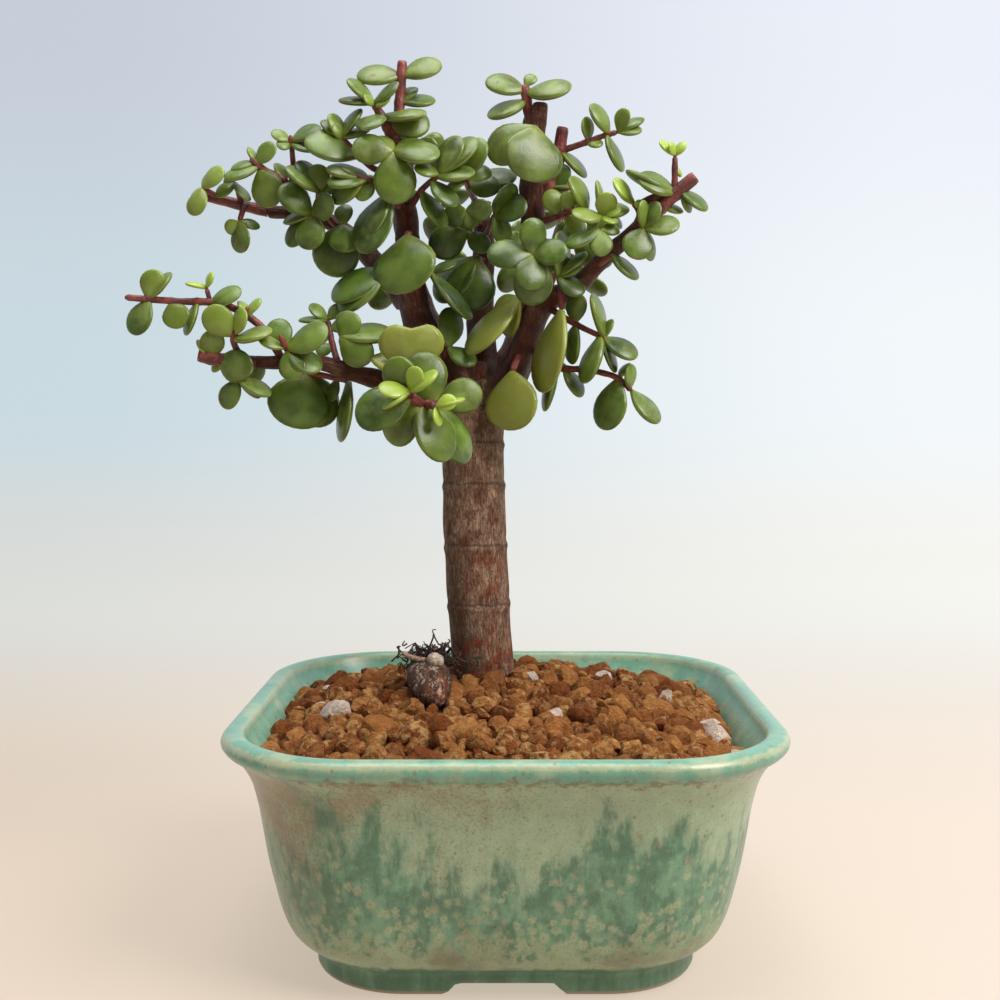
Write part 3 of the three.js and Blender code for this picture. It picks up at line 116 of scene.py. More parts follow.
SPRIGS: dict[str, Sprig] = {
    "far_left": Sprig(
        ((-67, -4.5, 175), (-74, -5, 186), (-84, -8, 192), (-99, -9, 193), (-113, -10, 194)),
        (
            (0.88, 3.5, -1, 8.5, -15), (0.87, -5, -1, -10.5, 25), (0.75, 3, -2, -8, 5, 0.85),
            (0.61, -4, 0, -10, 60), (0.87, 5.5, 3, 8.5, 55), (0.54, 9.5, -2, 3.5, 45),
        ),
        radii=(1.3, 1),
        twigs=(
            Sprig(
                ((-88, -8, 192), (-89, -9, 197)),
                ((1, -6, -1, 1.5, 75), (1, 2, -1, 4.5, 50), (1, -4.5, 3, 1.5, 80)),
                radii=(0.8, 0.7),
            ),
        ),
    ),
    "low_left_tip": Sprig(
        ((-75, -6, 175), (-84, -7, 175.5), (-92, -8, 177)),
        (
            (0.78, 2, -4, 8, -15), (0.67, 11, -5, -3.5, 0), (0.8, -3.5, 0, 5.5, 75), (0.33, 6, 8, -5.5, 5),
            (0.57, -4, 2, -3, 40),
        ),
        radii=(2, 2),
        twigs=(
            Sprig(
                ((-80, -6.5, 175), (-80, -9, 170)),
                ((1, -4, -1, -9, 25), (1, 10, -1, -4.5, 65), (1, 6.5, 3, -5, 65)),
            ),
            Sprig(
                ((-79, -6, 175), (-81, -10, 182), (-77, -12, 188), (-76, -13, 191)),
                (
                    (0.47, -7.5, -3, 8, 5), (0.49, 3.5, -3, 7.5, 40), (0.42, 12, -4, 2, 65),
                    (0.87, -1.5, 5.5, 4, 55), (0.87, -1.5, 5.5, 4, 55), (0.86, 4.5, 0, 5, 55),
                ),
            ),
        ),
    ),
    "low_left_b": Sprig(
        ((-63, -4, 175), (-66, -9, 180), (-67, -11, 183)),
        (
            (0.55, -4, 2, 9, 10), (0.57, -8, -2, 3, 55), (0.54, 13, -3, 5.5, 40), (0.51, 3.5, -5, -9, 0),
            (0.51, 10, -2, -6.5, 45),
        ),
    ),
    "low_left_c": Sprig(
        ((-51.5, 0, 175.5), (-53.5, 3, 181.5), (-55, 5, 188.5)),
        (
            (1, -5.5, -1, 4.5, 50), (0.98, -9, -1, 0.5, 75), (1, 4.5, 1, 5, 30), (0.79, 6.5, -1, 2, 30),
            (0.65, -7, 2, -3, 50), (0.43, -4.5, -2, -3, 20),
        ),
    ),
    "low_left_e": Sprig(
        ((-62, -4, 177), (-64, 2, 174.5), (-62, 6, 172.5)),
        ((1, -4, -2, -17.5, -20, 1), (1, 5.5, 3, -17, 25)),
        twigs=(
            Sprig(
                ((-62, 6, 172.5), (-55, 6, 171), (-48.5, 5, 169.5)),
                ((0.98, -2, -2, -19, 70), (0.72, -2.5, 1, -7, 45)),
            ),
        ),
    ),
    "low_left_g": Sprig(
        ((-48.5, 2, 173.5), (-49.5, -3, 180), (-50, -4, 182.5)),
        ((1, 9.5, -4, -7, 0), (1, 4.5, 0, 7.5, 5, 0.85), (1, 16, 4, 2.5, 60)),
    ),
    "heart": Sprig(
        ((-29, 6, 168), (-28, -8, 171.5)),
        ((1, 0, -2, 16, 5, 1.1), (1, -12, 4, 7.5, 45)),
        radii=(1.5, 1.3),
    ),
    "front": Sprig(
        ((-19, 8, 166), (-20, -10, 163), (-24, -20, 162), (-27, -27, 164.5)),
        (
            (1, -15.5, -1, -7, 25), (1, -5, -3, 11, -10), (0.85, 8, -2, -16.5, 45), (0.5, 13, 2, 3.5, 5),
            (0.9, -8.5, 3, -12, 20), (0.62, -4.5, 3, 15.5, 5), (0.7, 12.5, 4, -16, 55),
        ),
        radii=(1.7, 1.5),
        twigs=(
            Sprig(
                ((-27, -27, 164.5), (-27, -30, 166)),
                ((1, -8.5, -4, 0.5, 50), (1, -7.5, -2.5, -5, 75), (1, 3, -3.5, 6.5, 25), (1, 8, -4, 5, 65)),
                radii=(1, 0.9),
            ),
            Sprig(
                ((-24, -20, 162), (-21, -25, 162), (-20, -27, 161.5)),
                ((1, 6, -2, 2, 25), (1, 1, -1, -5.5, 60), (1, 8.5, 1, 2.5, 80)),
                radii=(1.2, 1.1),
            ),
        ),
    ),
    "round_leaf": Sprig(((5, 11, 180), (2, 1, 172.5)), ((1, 0.5, -4, -18, 30, 0.9),), radii=(1.2, 1)),
    "long_leaf": Sprig(
        ((6, 12, 191), (4, 5, 195.5)),
        ((1, -16, -4, -17.5, 65), (1, -7.5, 4, -4.5, 40), (1, -4.5, 6, -11.5, 50)),
        radii=(1.2, 1),
    ),
    "lens_leaf": Sprig(
        ((-29, 11, 204), (-23, 6, 203)),
        ((1, 13, -2, -14, 75), (1, 7.5, 1, 3.5, 60)),
        radii=(1.2, 1),
    ),
    "dull_leaf": Sprig(((-21, 12, 173), (-18, 6, 180)), ((1, 8.5, -2, -5.5, 45), (1, 1.5, 3, 12.5, 40))),
    "shield_leaf": Sprig(((-30, 11, 216), (-30, 3, 214)), ((1, -1.5, -7.5, -18, 25, 1),), radii=(1.3, 1.1)),
    "left_a": Sprig(
        ((-30, 11, 200), (-36, 3, 203)),
        ((1, -16.5, 1, -11, 50), (1, -18, 4, -7.5, 50)),
        radii=(1.2, 1),
    ),
    "left_b": Sprig(
        ((-52, 20, 217), (-50.5, 12, 218.5)),
        ((1, -4.5, 1, -16, 10, 0.85), (1, -0.5, 3, 7, -5), (1, 1.5, -4, -9, 10, 1)),
        radii=(1.2, 1),
    ),
    "left_c": Sprig(
        ((-59, 21.5, 221.5), (-60.5, 11, 221.5)),
        (
            (1, 0, -4, -11.5, 10), (1, -9, -3, 8.5, 30), (1, -8, 1, -9.5, 40), (1, 7.5, -7.5, 3, 10),
            (1, -9.5, 4, -1, 55),
        ),
    ),
    "left_d": Sprig(((-31, 10, 221), (-36, 5, 227)), ((1, -7.5, -1, -13, 50), (1, -8, -1.5, -18.5, 40))),
    "left_e": Sprig(
        ((-62, 21.5, 223), (-66, 15.5, 227.5), (-68.5, 13, 231.5), (-77, 12, 236.5), (-79.5, 12, 239)),
        (
            (0.85, 4, -2, -12.5, -10), (0.92, 6.5, -2, 5.5, 25), (0.87, -10.5, -2, -4, 55),
            (0.94, -7.5, 1, -2, 55), (0.94, -1.5, 2, 5, 65), (0.44, 6, 1, 7.5, 10), (0.55, -2, 4, 6, 50),
        ),
        radii=(1.3, 1.1),
    ),
    "far_up_tip": Sprig(
        ((-76, 21, 224), (-85, 20, 226), (-98, 18, 229)),
        (),
        radii=(1.9, 1.6),
        twigs=(
            Sprig(
                ((-91, 19, 228), (-95, 13, 230)),
                ((1, -2, -3, -9, 25), (1, 7, -2, 6, 35), (1, -4.5, 2, -3.5, 50), (1, 3, 2, 5.5, 45)),
            ),
            Sprig(
                ((-83, 19, 226), (-84, 15, 220)),
                ((1, 1, -1, -10, 30), (1, -4.5, 1, -3, 0, 0.85), (1, 6, 3, -1, 50)),
            ),
            Sprig(
                ((-84, 20, 226), (-85, 15, 232)),
                ((1, -6, -1, -4, 35), (1, -4, 1, 1, 5), (1, 4.5, -3, -6, 70)),
            ),
        ),
    ),
    "up_a": Sprig(
        ((-68, 21.5, 223.5), (-67.5, 21, 233), (-67, 15, 241), (-67, 12, 246)),
        (
            (0.93, -6, -1, 2.5, 40), (0.9, -4, -3, -1.5, 20), (0.93, 9.5, -1, 4, 45),
            (0.9, 8.5, -3, -2.5, 55),
        ),
    ),
    "far_up_a": Sprig(
        ((-52, 21, 217), (-58.5, 13, 225), (-58, 10, 228.5)),
        ((0.95, 0, -1, 9, 5), (0.99, -6, 1, 10, 50), (0.99, -9.5, -4, 7, 65), (0.91, 6, 1, 5, 25)),
    ),
    "up_b": Sprig(
        ((-33, 10, 232), (-42, 9, 236), (-48, 9, 242), (-53, 9, 246)),
        (
            (0.58, -16, -4.5, 4.5, 40), (0.88, -3, 0, 8, 50), (0.92, -5, 2, 6, 45), (0.85, -3, -1.5, 5, 45),
            (0.9, 6, 1, 9.5, 60), (0.9, 9, 2, 3.5, 60),
        ),
    ),
    "up_c": Sprig(
        ((-32, 11, 228), (-39, 5, 230), (-46, 2, 232)),
        (
            (0.76, -12, -2, -1, 50), (0.64, -4.5, -2, -6, 25), (0.73, -8.5, 3, 5, 65),
            (0.85, -11, 3, 4, 55), (0.81, -10.5, 4, -6, 40), (0.57, 4.5, -2, -4, 35),
        ),
    ),
    "up_d": Sprig(
        ((-33, 9, 238), (-34, 2, 239)),
        (
            (1, -12.5, -2, 0.5, 15), (1, 14, -3, -1, 45), (1, 1, -3, -16, -5), (1, 9.5, 4, 3.5, 45),
            (1, -5, 3, 5.5, 45),
        ),
        radii=(1.3, 1.1),
    ),
    "top_left": Sprig(
        ((-34, 9, 243), (-34, 9.5, 243), (-38, 9, 250.5), (-40.5, 8, 255)),
        (
            (1, -8, -2, 6.5, 60), (1, -11, 1, 1.5, 65), (1, 8, -3, 5, 55), (0.96, -3, -4, 1, 35),
            (0.96, 5, -4, 0.5, 40), (0.67, 14, -4, 0, 65), (0.72, -4, -9.5, -6.5, 35),
            (0.43, 13, 3, 2.5, 20), (0.29, 4.5, 3.5, 1.5, 10),
        ),
        radii=(1.9, 1.2),
        twigs=(
            Sprig(
                ((-34, 10, 244), (-33, 12, 254.5), (-32, 12, 268.5)),
                (
                    (0.83, 12.5, -1, 3.5, 40), (0.82, -14, 0, 0.5, 45), (0.49, 4.5, 3, 6, 40),
                    (0.5, 11, 2, 1.5, 55),
                ),
                radii=(1.7, 1.6),
            ),
        ),
    ),
    "mid_a": Sprig(
        ((-31, 11, 221), (-25.5, 4, 228), (-20, 1, 232)),
        (
            (1, 5.5, 1, 12, 40), (1, 11, 2, 11.5, 50), (0.94, 11.5, -4, 0.5, 55), (0.83, 7.5, -4, -8, 50),
            (0.57, 7.5, 0, -11, 60), (1, -7.5, -2, 2, 45),
        ),
    ),
    "mid_b": Sprig(
        ((-9, 29, 227), (-11.5, 14, 230), (-12.5, 6, 232)),
        (
            (0.72, 10, -3, -0.5, 25), (1, 5, 0, 12, 35), (1, -8, 10.5, 9, 80), (1, 8, 3, 3, 30),
            (0.67, 14.5, 5, 6, 50), (0.9, -6.5, 1, -2.5, 50),
        ),
    ),
    "mid_c": Sprig(
        ((-8, 29, 221), (-11, 14, 221), (-12, 6, 222)),
        ((1, 8, -2, 0, -10), (1, -7, 3, -2, 5, 0.9), (1, 7, 4, 3.5, 60), (1, 2.5, 2, -5, 10, 0.8)),
    ),
    "mid_d": Sprig(((-7, 28, 216), (-12, 18, 217)), ((1, -12, -2, -6, -10), (1, 6.5, -1.5, -6, 15))),
    "mid_e": Sprig(((-7, 27, 209), (-9, 17, 209)), ((1, -4.5, -2, -17, 5, 0.85), (1, -13.5, 3, -13, 40))),
    "right_a": Sprig(
        ((-7, 29, 216), (-3.5, 9, 221)),
        ((1, 10, -4, 3, 25, 0.8), (1, 4, 2, -8.5, 30), (1, 6.5, -2.5, 9, -55), (1, 3, -1.5, 6, -35)),
    ),
    "rosette": Sprig(
        ((9, 12, 208), (8, 2, 208), (8, -5, 207)),
        (
            (1, 0.5, -1, 11, 20), (1, 10.5, -3, 1, 20), (1, -13.5, -2, 0, 30), (1, -1, -5, -10.5, -15, 0.8),
            (1, 0, 0, -15, 0),
        ),
        radii=(1.3, 1.1),
    ),
    "crown_leaf": Sprig(
        ((9, 12, 246), (9, 5, 247)),
        ((1, -1.5, -5, -17, -20, 1), (1, -14, 1, -9.5, 20)),
        radii=(1.4, 1.2),
    ),
    "top_right": Sprig(
        ((9, 13, 245), (7, 14, 255), (6, 14, 262)),
        (
            (0.89, -12.5, -1, 3, 40), (0.85, 14, -5, 0.5, 50), (0.72, -12, -2, -6, 55), (0.98, 3, 2, 4, 15),
            (0.54, -0.5, 6, -4.5, -60),
        ),
        radii=(2, 1.4),
    ),
    "right_b": Sprig(
        ((9, 14, 222), (15, 15, 233), (18, 15, 249)),
        ((0.32, 6, -3, 6.5, 25), (0.34, 11, -3, 0.5, 65), (0.32, 3.5, -2, -6.5, 15), (0.76, 9, 0, -8, 65)),
        radii=(2.5, 2),
        twigs=(
            Sprig(
                ((18, 15, 242), (25, 13, 244), (31, 12, 246), (35, 12, 247)),
                (
                    (0.47, -0.5, -1, 7.5, 45), (0.43, 5, -2, -1, 40), (0.84, -5, -1, 9.5, 50),
                    (1, 2.5, -3, 6.5, 35), (1, 7.5, -1, 0.5, 50), (0.8, 5, -1, -11.5, 65), (1, 8, 2, 5, 60),
                ),
            ),
        ),
    ),
    "right_d": Sprig(
        ((9, 12, 219), (15, 8, 220), (20.5, 4, 221.5), (25.5, 1, 220.5), (29.5, -1, 219)),
        (
            (0.78, -4.5, -1, 11, 55), (0.99, 1.5, -4, 6.5, -15, 0.8), (1, 7.5, 4.5, 4.5, 40),
            (1, 6, 7, -0.5, 35), (1, -9.5, -4, 0, 50), (0.38, -3.5, 0, 8, 15), (0.53, 0, 0, 6.5, 0, 0.8),
            (0.45, 6, 4, -5, 25), (0.99, -1, 1, 11, 75), (0.99, 5.5, -2, 2, 50), (0.79, 2.5, 1, -4.5, 15),
            (0.98, 4, -4, -2.5, 50),
        ),
    ),
    "right_e": Sprig(
        ((38, 1, 214), (40.5, -1, 220), (38.5, -1, 223.5)),
        ((1, -6, -2, 6.5, 50), (0.9, -4.5, 1, 4.5, 50), (0.72, 0, -1, 3, 15, 0.85)),
    ),
    "right_tip": Sprig(
        ((44, -1, 219), (51, -2, 225.5), (57, -3, 230.5)),
        (
            (0.59, -12, -3, 4, 45), (0.57, -15, 2.5, 7, 80), (0.66, 8.5, -1, -6, 55),
            (0.24, 7, 2, -0.5, 55), (0.69, 3.5, 3, -6.5, 55),
        ),
        radii=(2.2, 2),
        twigs=(
            Sprig(
                ((51, -2, 225.5), (51, -2, 232), (51, -2, 237)),
                ((1, -4.5, 0, 4.5, 50), (1, 3, 0, 4, 45), (1, -2, -3, 3, 40), (0.69, 2.5, 2, -2, 50)),
            ),
            Sprig(((51, -1, 226), (44, 1, 224), (40, 2, 222)), (), radii=(2, 1.7)),
        ),
    ),
    "right_h": Sprig(
        ((40, 0, 216), (41.5, -5, 215)),
        (
            (1, 10.5, -2, 1, 40), (1, -3.5, -4, -9.5, 0, 0.8), (1, 3, 1, -9.5, 55), (1, 4, -2, 7.5, 45),
            (1, -1, -4, 7.5, 55),
        ),
    ),
    "right_i": Sprig(
        ((31, 2, 208), (28.5, -4, 214.5)),
        ((1, 0, -4, -8, 5), (1, -10.5, 1, -4.5, 55), (1, 6, 2, 0.5, 35)),
    ),
    "right_j": Sprig(
        ((18, 6, 197), (16, 0, 201)),
        ((1, 7.5, -3, -5.5, 35), (1, 7, 0, 4.5, 50), (1, 8.5, 2, 8, 70), (1, 2, 3, 14, 60)),
        twigs=(
            Sprig(
                ((17, 3, 199), (17, -1, 195), (17, -1.5, 191)),
                ((1, -6.5, -2, -25, 65),),
                radii=(1.2, 1),
            ),
        ),
    ),
    "right_low_a": Sprig(
        ((14, 8, 192), (18, 3, 189), (23, 0, 186), (27, -1, 184), (31, -2, 182)),
        (
            (0.94, 10, -3, -6, 50), (0.89, -5.5, -5, -14, 70), (0.95, -3.5, 0, 13.5, 70),
            (0.5, 1, -0.5, 9, -30), (0.92, 5, 1, -10.5, 70), (0.95, 2, 2, 6, 60), (0.52, -2, 3, -12, 65),
        ),
    ),
    "right_low_b": Sprig(
        ((8, 10, 180), (16, 6, 174), (25, 2, 173), (34, -1, 170.5), (38.5, -2, 166.5)),
        (
            (0.85, -5, -1, -15.5, 45), (1, 8, -2, -10, 55), (0.98, 0, -2, 7.5, 50), (0.36, 6, -1, -8.5, 55),
            (0.31, -3.5, 2, -5.5, 55), (0.28, -3.5, 2, -14, 80), (0.85, 3.5, 1.5, 5, 70),
            (0.39, -7.5, 6.5, 5.5, 80),
        ),
        radii=(1.2, 0.9),
    ),
    "right_k": Sprig(((26, 4, 203), (32, -2, 207.5)), ((1, 8, -2, -7.5, 60), (1, 7, 1, -4.5, 65))),
}

BACK_SPRIGS: dict[str, tuple[tuple[Triple, ...], float]] = {
    "back_a": (((-29, 42, 200), (-38, 52, 202), (-46, 60, 207)), 11),
    "back_b": (((-36, 52, 224), (-40, 58, 232), (-42, 61, 240)), 11),
    "back_c": (((-33, 47, 211), (-24, 58, 216), (-19, 66, 222)), 12),
    "back_d": (((12, 42, 201), (22, 50, 204), (30, 56, 210)), 11),
    "back_e": (((19, 49, 222), (19, 56, 230), (16, 60, 238)), 11),
    "back_f": (((15, 45, 207), (6, 56, 212), (0, 63, 219)), 12),
    "back_g": (((-8, 30, 226), (-12, 36, 234), (-14, 39, 242)), 10),
    "back_h": (((-33, 11, 236), (-29, 22, 240), (-28, 31, 245)), 10),
    "back_i": (((9, 15, 214), (20, 28, 214), (27, 38, 218)), 10),
}


# ---------------------------------------------------------------- numbers and paths
class Draws:
    """A small counter-based stream of draws, the same on every run."""

    def __init__(self, seed: int) -> None:
        """Starts the stream at a seed."""
        self.state = seed & 0xFFFFFFFF

    def __call__(self) -> float:
        """Returns the next draw: the counter's bits multiplied and folded three times."""
        mask = 0xFFFFFFFF
        self.state = (self.state + 0x6D2B79F5) & mask
        mixed = ((self.state ^ (self.state >> 15)) * (1 | self.state)) & mask
        mixed = ((mixed + ((mixed ^ (mixed >> 7)) * (61 | mixed) & mask)) & mask) ^ mixed
        return ((mixed ^ (mixed >> 14)) & mask) / 4294967296


def lumps(points: Array, size: float, seed: int, waves: int = 14) -> Array:
    """Smooth random relief: the mean of sine waves in random directions.

    Args:
        points: Points (..., 3).
        size: Wave length of the relief, in the points' unit.
        seed: Seed of the directions and phases.
        waves: How many waves are summed.

    Returns:
        Relief of about -1 to 1 at each point.
    """
    rng = np.random.default_rng(seed)
    directions = rng.normal(size=(3, waves))
    directions /= np.linalg.norm(directions, axis=0)
    directions *= 2 * math.pi / (size * rng.uniform(0.7, 1.5, waves))
    phases = rng.uniform(0, 2 * math.pi, waves)
    return np.sin(points @ directions + phases).sum(-1) / math.sqrt(waves)


def unit(vectors: Array) -> Array:
    """Vectors of length one."""
    return vectors / np.maximum(np.linalg.norm(vectors, axis=-1, keepdims=True), 1e-12)


def square_to(vectors: Array, axes: Array) -> Array:
    """Unit vectors made square to the unit axes: the share along the axis is taken off."""
    along = (vectors * axes).sum(-1, keepdims=True)
    return unit(vectors - along * axes)


class Path:
    """A smooth curve through points: a centripetal Catmull-Rom spline measured by its length."""

    def __init__(self, points: Sequence[Sequence[float]]) -> None:
        """Samples the spline.

        Each span is the cubic through its two points whose end slopes come from the neighbours,
        weighted by the square roots of the distances.

        Args:
            points: The points to pass through.
        """
        given = np.array(points, float)[:, :3]
        padded = np.vstack([2 * given[0] - given[1], given, 2 * given[-1] - given[-2]])
        gaps = np.sqrt(np.linalg.norm(np.diff(padded, axis=0), axis=1))[:, None]
        p0, p1, p2, p3 = padded[:-3], padded[1:-2], padded[2:-1], padded[3:]
        g0, g1, g2 = gaps[:-2], gaps[1:-1], gaps[2:]
        slope1 = ((p1 - p0) / g0 - (p2 - p0) / (g0 + g1) + (p2 - p1) / g1) * g1
        slope2 = ((p2 - p1) / g1 - (p3 - p1) / (g1 + g2) + (p3 - p2) / g2) * g1
        t = np.linspace(0, 1, 60, endpoint=False)[None, :, None]
        spans = (
            (2 * t**3 - 3 * t**2 + 1) * p1[:, None]
            + (t**3 - 2 * t**2 + t) * slope1[:, None]
            + (3 * t**2 - 2 * t**3) * p2[:, None]
            + (t**3 - t**2) * slope2[:, None]
        )
        self.samples = np.vstack([spans.reshape(-1, 3), given[-1:]])
        steps = np.linalg.norm(np.diff(self.samples, axis=0), axis=1)
        self.reach = np.concatenate([[0.0], np.cumsum(steps)])
        self.length = float(self.reach[-1])
        self.knots = self.reach[::60]

    def at(self, places: Array) -> Array:
        """Points at shares 0 to 1 of the length."""
        wanted = np.asarray(places, float) * self.length
        return np.stack([np.interp(wanted, self.reach, self.samples[:, k]) for k in range(3)], -1)

    def along(self, places: Array) -> Array:
        """Unit directions at shares 0 to 1 of the length."""
        places = np.asarray(places, float)
        return unit(self.at(np.minimum(places + 0.002, 1)) - self.at(np.maximum(places - 0.002, 0)))

    def frames(self, places: Array) -> tuple[Array, Array, Array]:
        """The middle line with a direction across it.

        Args:
            places: Shares 0 to 1 of the length (n,).

        Returns:
            Points, unit directions along and unit directions across (n, 3).
        """
        along = self.along(places)
        guides = np.eye(3)
        guide = guides[np.abs(along @ guides.T).max(0).argmin()]
        return self.at(places), along, square_to(np.broadcast_to(guide, along.shape), along)


# ---------------------------------------------------------------- meshes
@dataclass
class Shell:
    """A mesh in the making.

    Attributes:
        points: Points (n, 3), in metres.
        quads: Four-sided faces (m, 4).
        tris: Three-sided faces (k, 3).
        grain: Place of each point on its straightened limb or blade (n, 3), in metres.
        tint: Four shades of each point (n, 4), read by the finishes.
        uv: Place of each point on the surface (n, 2).
        slot: Which of the piece's materials the faces have.
    """

    points: Array
    quads: Array
    tris: Array
    grain: Array
    tint: Array
    uv: Array
    slot: int = 0

    @classmethod
    def laid(
        cls,
        points: Array,
        quads: Array,
        tris: Array,
        tint: Array | Quad = (0, 0, 0, 0),
        grain: Array | None = None,
        uv: Array | None = None,
        slot: int = 0,
    ) -> "Shell":
        """A shell given in layout millimetres.

        Args:
            points: Points (n, 3).
            quads: Four-sided faces.
            tris: Three-sided faces.
            tint: Shades of each point, or of all.
            grain: Grain of each point in millimetres; the point's own place where none is given.
            uv: Place of each point on the surface, nought where none is given.
            slot: Which of the piece's materials the faces have.

        Returns:
            The shell in metres.
        """
        shades = np.broadcast_to(np.asarray(tint, float), (len(points), 4))
        uv = np.zeros((len(points), 2)) if uv is None else uv
        grain = (points if grain is None else grain) * MM
        return cls(ROW.metres(points), quads, tris, grain, shades, uv, slot)


NO_QUADS = np.zeros((0, 4), int)


def closed_shells(rings: Array, start: Array, end: Array) -> tuple[Array, Array, Array]:
    """Closes stacks of rings into shells with a pole at each end.

    Args:
        rings: Points (shells, rings, sides, 3), counter-clockwise round the way they go.
        start: First pole of each shell (shells, 3).
        end: Last pole of each shell (shells, 3).

    Returns:
        Points, four-sided faces and three-sided faces, facing outwards.
    """
    shells, rows, sides, _ = rings.shape
    each = rows * sides + 2
    points = np.concatenate([rings.reshape(shells, rows * sides, 3), start[:, None], end[:, None]], 1)
    j = np.arange(sides)
    following = (j + 1) % sides
    row = np.arange(rows - 1)[:, None] * sides
    quads = np.stack([row + j, row + following, row + sides + following, row + sides + j], -1)
    last = (rows - 1) * sides
    first_fan = np.stack([np.full(sides, rows * sides), following, j], -1)
    last_fan = np.stack([np.full(sides, rows * sides + 1), last + j, last + following], -1)
    tris = np.concatenate([first_fan, last_fan])
    offset = (np.arange(shells) * each)[:, None, None]
    quads = (quads.reshape(-1, 4)[None] + offset).reshape(-1, 4)
    tris = (tris[None] + offset).reshape(-1, 3)
    return points.reshape(-1, 3), quads, tris


def with_poles(values: Array, start: Array, end: Array) -> Array:
    """Values per ring point laid out as closed_shells lays its points.

    Args:
        values: Values (shells, rings, sides, c).
        start: Values of the first poles (shells, c).
        end: Values of the last poles (shells, c).

    Returns:
        Values (points, c).
    """
    shells, rows, sides, width = values.shape
    flat = values.reshape(shells, rows * sides, width)
    return np.concatenate([flat, start[:, None], end[:, None]], 1).reshape(-1, width)


def tube(
    path: Path,
    radii: Array,
    sides: int,
    tint: Quad = (0, 0, 0, 0),
    slot: int = 0,
    seed: int = 0,
    relief: float = 0.0,
) -> Shell:
    """A round limb along a path: a circle of the radius at each step, square to the path.

    Args:
        path: Middle line, in millimetres from the middle of the pot.
        radii: Radius at evenly spaced steps of the path.
        sides: Points round.
        tint: Shades of the whole limb.
        slot: Material of the faces.
        seed: Shifts the limb's grain.
        relief: Height of random lumps, as a share of the radius.

    Returns:
        The closed limb.
    """
    steps = len(radii)
    places = np.linspace(0, 1, steps)
    centres, along, across = path.frames(places)
    other = np.cross(along, across)
    angle = np.linspace(0, 2 * math.pi, sides, endpoint=False)
    out = across[:, None] * np.cos(angle)[:, None] + other[:, None] * np.sin(angle)[:, None]
    reach = np.asarray(radii)[:, None, None]
    if relief:
        lump = lumps(centres[:, None] + out * reach, 2.2 * float(np.mean(radii)) + 0.5, seed)
        reach = reach * (1 + relief * lump[..., None])
    rings = centres[:, None] + out * reach
    points, quads, tris = closed_shells(rings[None], centres[:1], centres[-1:])
    run = places * path.length + 37.0 * seed
    flat = np.stack(
        [
            np.asarray(radii)[:, None] * np.cos(angle),
            np.asarray(radii)[:, None] * np.sin(angle),
            np.broadcast_to(run[:, None], (steps, sides)),
        ],
        -1,
    )
    ends = np.array([[0.0, 0.0, run[0]], [0.0, 0.0, run[-1]]])
    grain = with_poles(flat[None], ends[:1], ends[1:])
    return Shell.laid(points, quads, tris, tint, grain, slot=slot)


def build(name: str, shells: Sequence[Shell], materials: Sequence[bpy.types.Material]) -> bpy.types.Object:
    """Writes shells into one smooth-shaded object at the origin.

    Args:
        name: Name of the piece.
        shells: The shells it is made of.
        materials: Its materials, in the order of the shells' slots.

    Returns:
        The new object.
    """
    starts = np.cumsum([0] + [len(s.points) for s in shells])
    quads = np.concatenate([s.quads + at for s, at in zip(shells, starts)])
    tris = np.concatenate([s.tris + at for s, at in zip(shells, starts)])
    slots = np.concatenate(
        [np.full(len(s.quads), s.slot) for s in shells] + [np.full(len(s.tris), s.slot) for s in shells]
    )
    points = np.concatenate([s.points for s in shells])
    loops = np.concatenate([quads.ravel(), tris.ravel()]).astype(np.int32)
    firsts = np.concatenate([np.arange(len(quads)) * 4, len(quads) * 4 + np.arange(len(tris)) * 3])
    mesh = bpy.data.meshes.new(name)
    mesh.vertices.add(len(points))
    mesh.vertices.foreach_set("co", points.astype(np.float32).ravel())
    mesh.loops.add(len(loops))
    mesh.loops.foreach_set("vertex_index", loops)
    mesh.polygons.add(len(firsts))
    mesh.polygons.foreach_set("loop_start", firsts.astype(np.int32))
    mesh.polygons.foreach_set("material_index", slots.astype(np.int32))
    mesh.polygons.foreach_set("use_smooth", np.ones(len(firsts), bool))
    layer = mesh.uv_layers.new(name="UVMap")
    uv = np.concatenate([s.uv for s in shells])
    layer.data.foreach_set("uv", uv[loops].astype(np.float32).ravel())
    put_marks(mesh, np.concatenate([s.grain for s in shells]), np.concatenate([s.tint for s in shells]))
    mesh.update(calc_edges=True)
    mesh.validate()
    for material in materials:
        mesh.materials.append(material)
    piece = bpy.data.objects.new(name, mesh)
    bpy.context.scene.collection.objects.link(piece)
    return piece


def put_marks(mesh: bpy.types.Mesh, grain: Array, tint: Array) -> None:
    """Writes the grain and tint of each point as attributes of the mesh.

    Args:
        mesh: The mesh.
        grain: Grain (n, 3).
        tint: Tint (n, 4).
    """
    attribute = mesh.attributes.new("grain", "FLOAT_VECTOR", "POINT")
    attribute.data.foreach_set("vector", grain.astype(np.float32).ravel())
    attribute = mesh.attributes.new("tint", "FLOAT_COLOR", "POINT")
    attribute.data.foreach_set("color", tint.astype(np.float32).ravel())


@dataclass(frozen=True)
class Row:
    """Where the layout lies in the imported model.

    Attributes:
        shift: Middle of the pot in the model's frame, in metres.
    """

    shift: Triple

    @classmethod
    def of_pot(cls) -> "Row":
        """Finds the middle of the pot from its node."""
        low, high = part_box("pot")
        return cls(((low[0] + high[0]) / 2, (low[1] + high[1]) / 2, 0.0))

    def metres(self, points: Array) -> Array:
        """Layout points in the model's frame."""
        return np.asarray(points, float) * MM + np.array(self.shift)

    def layout(self, points: Array) -> Array:
        """Model points in layout millimetres."""
        return (points - np.array(self.shift)) / MM


ROW = Row.of_pot()


# ---------------------------------------------------------------- shader helpers
Socket = bpy.types.NodeSocket


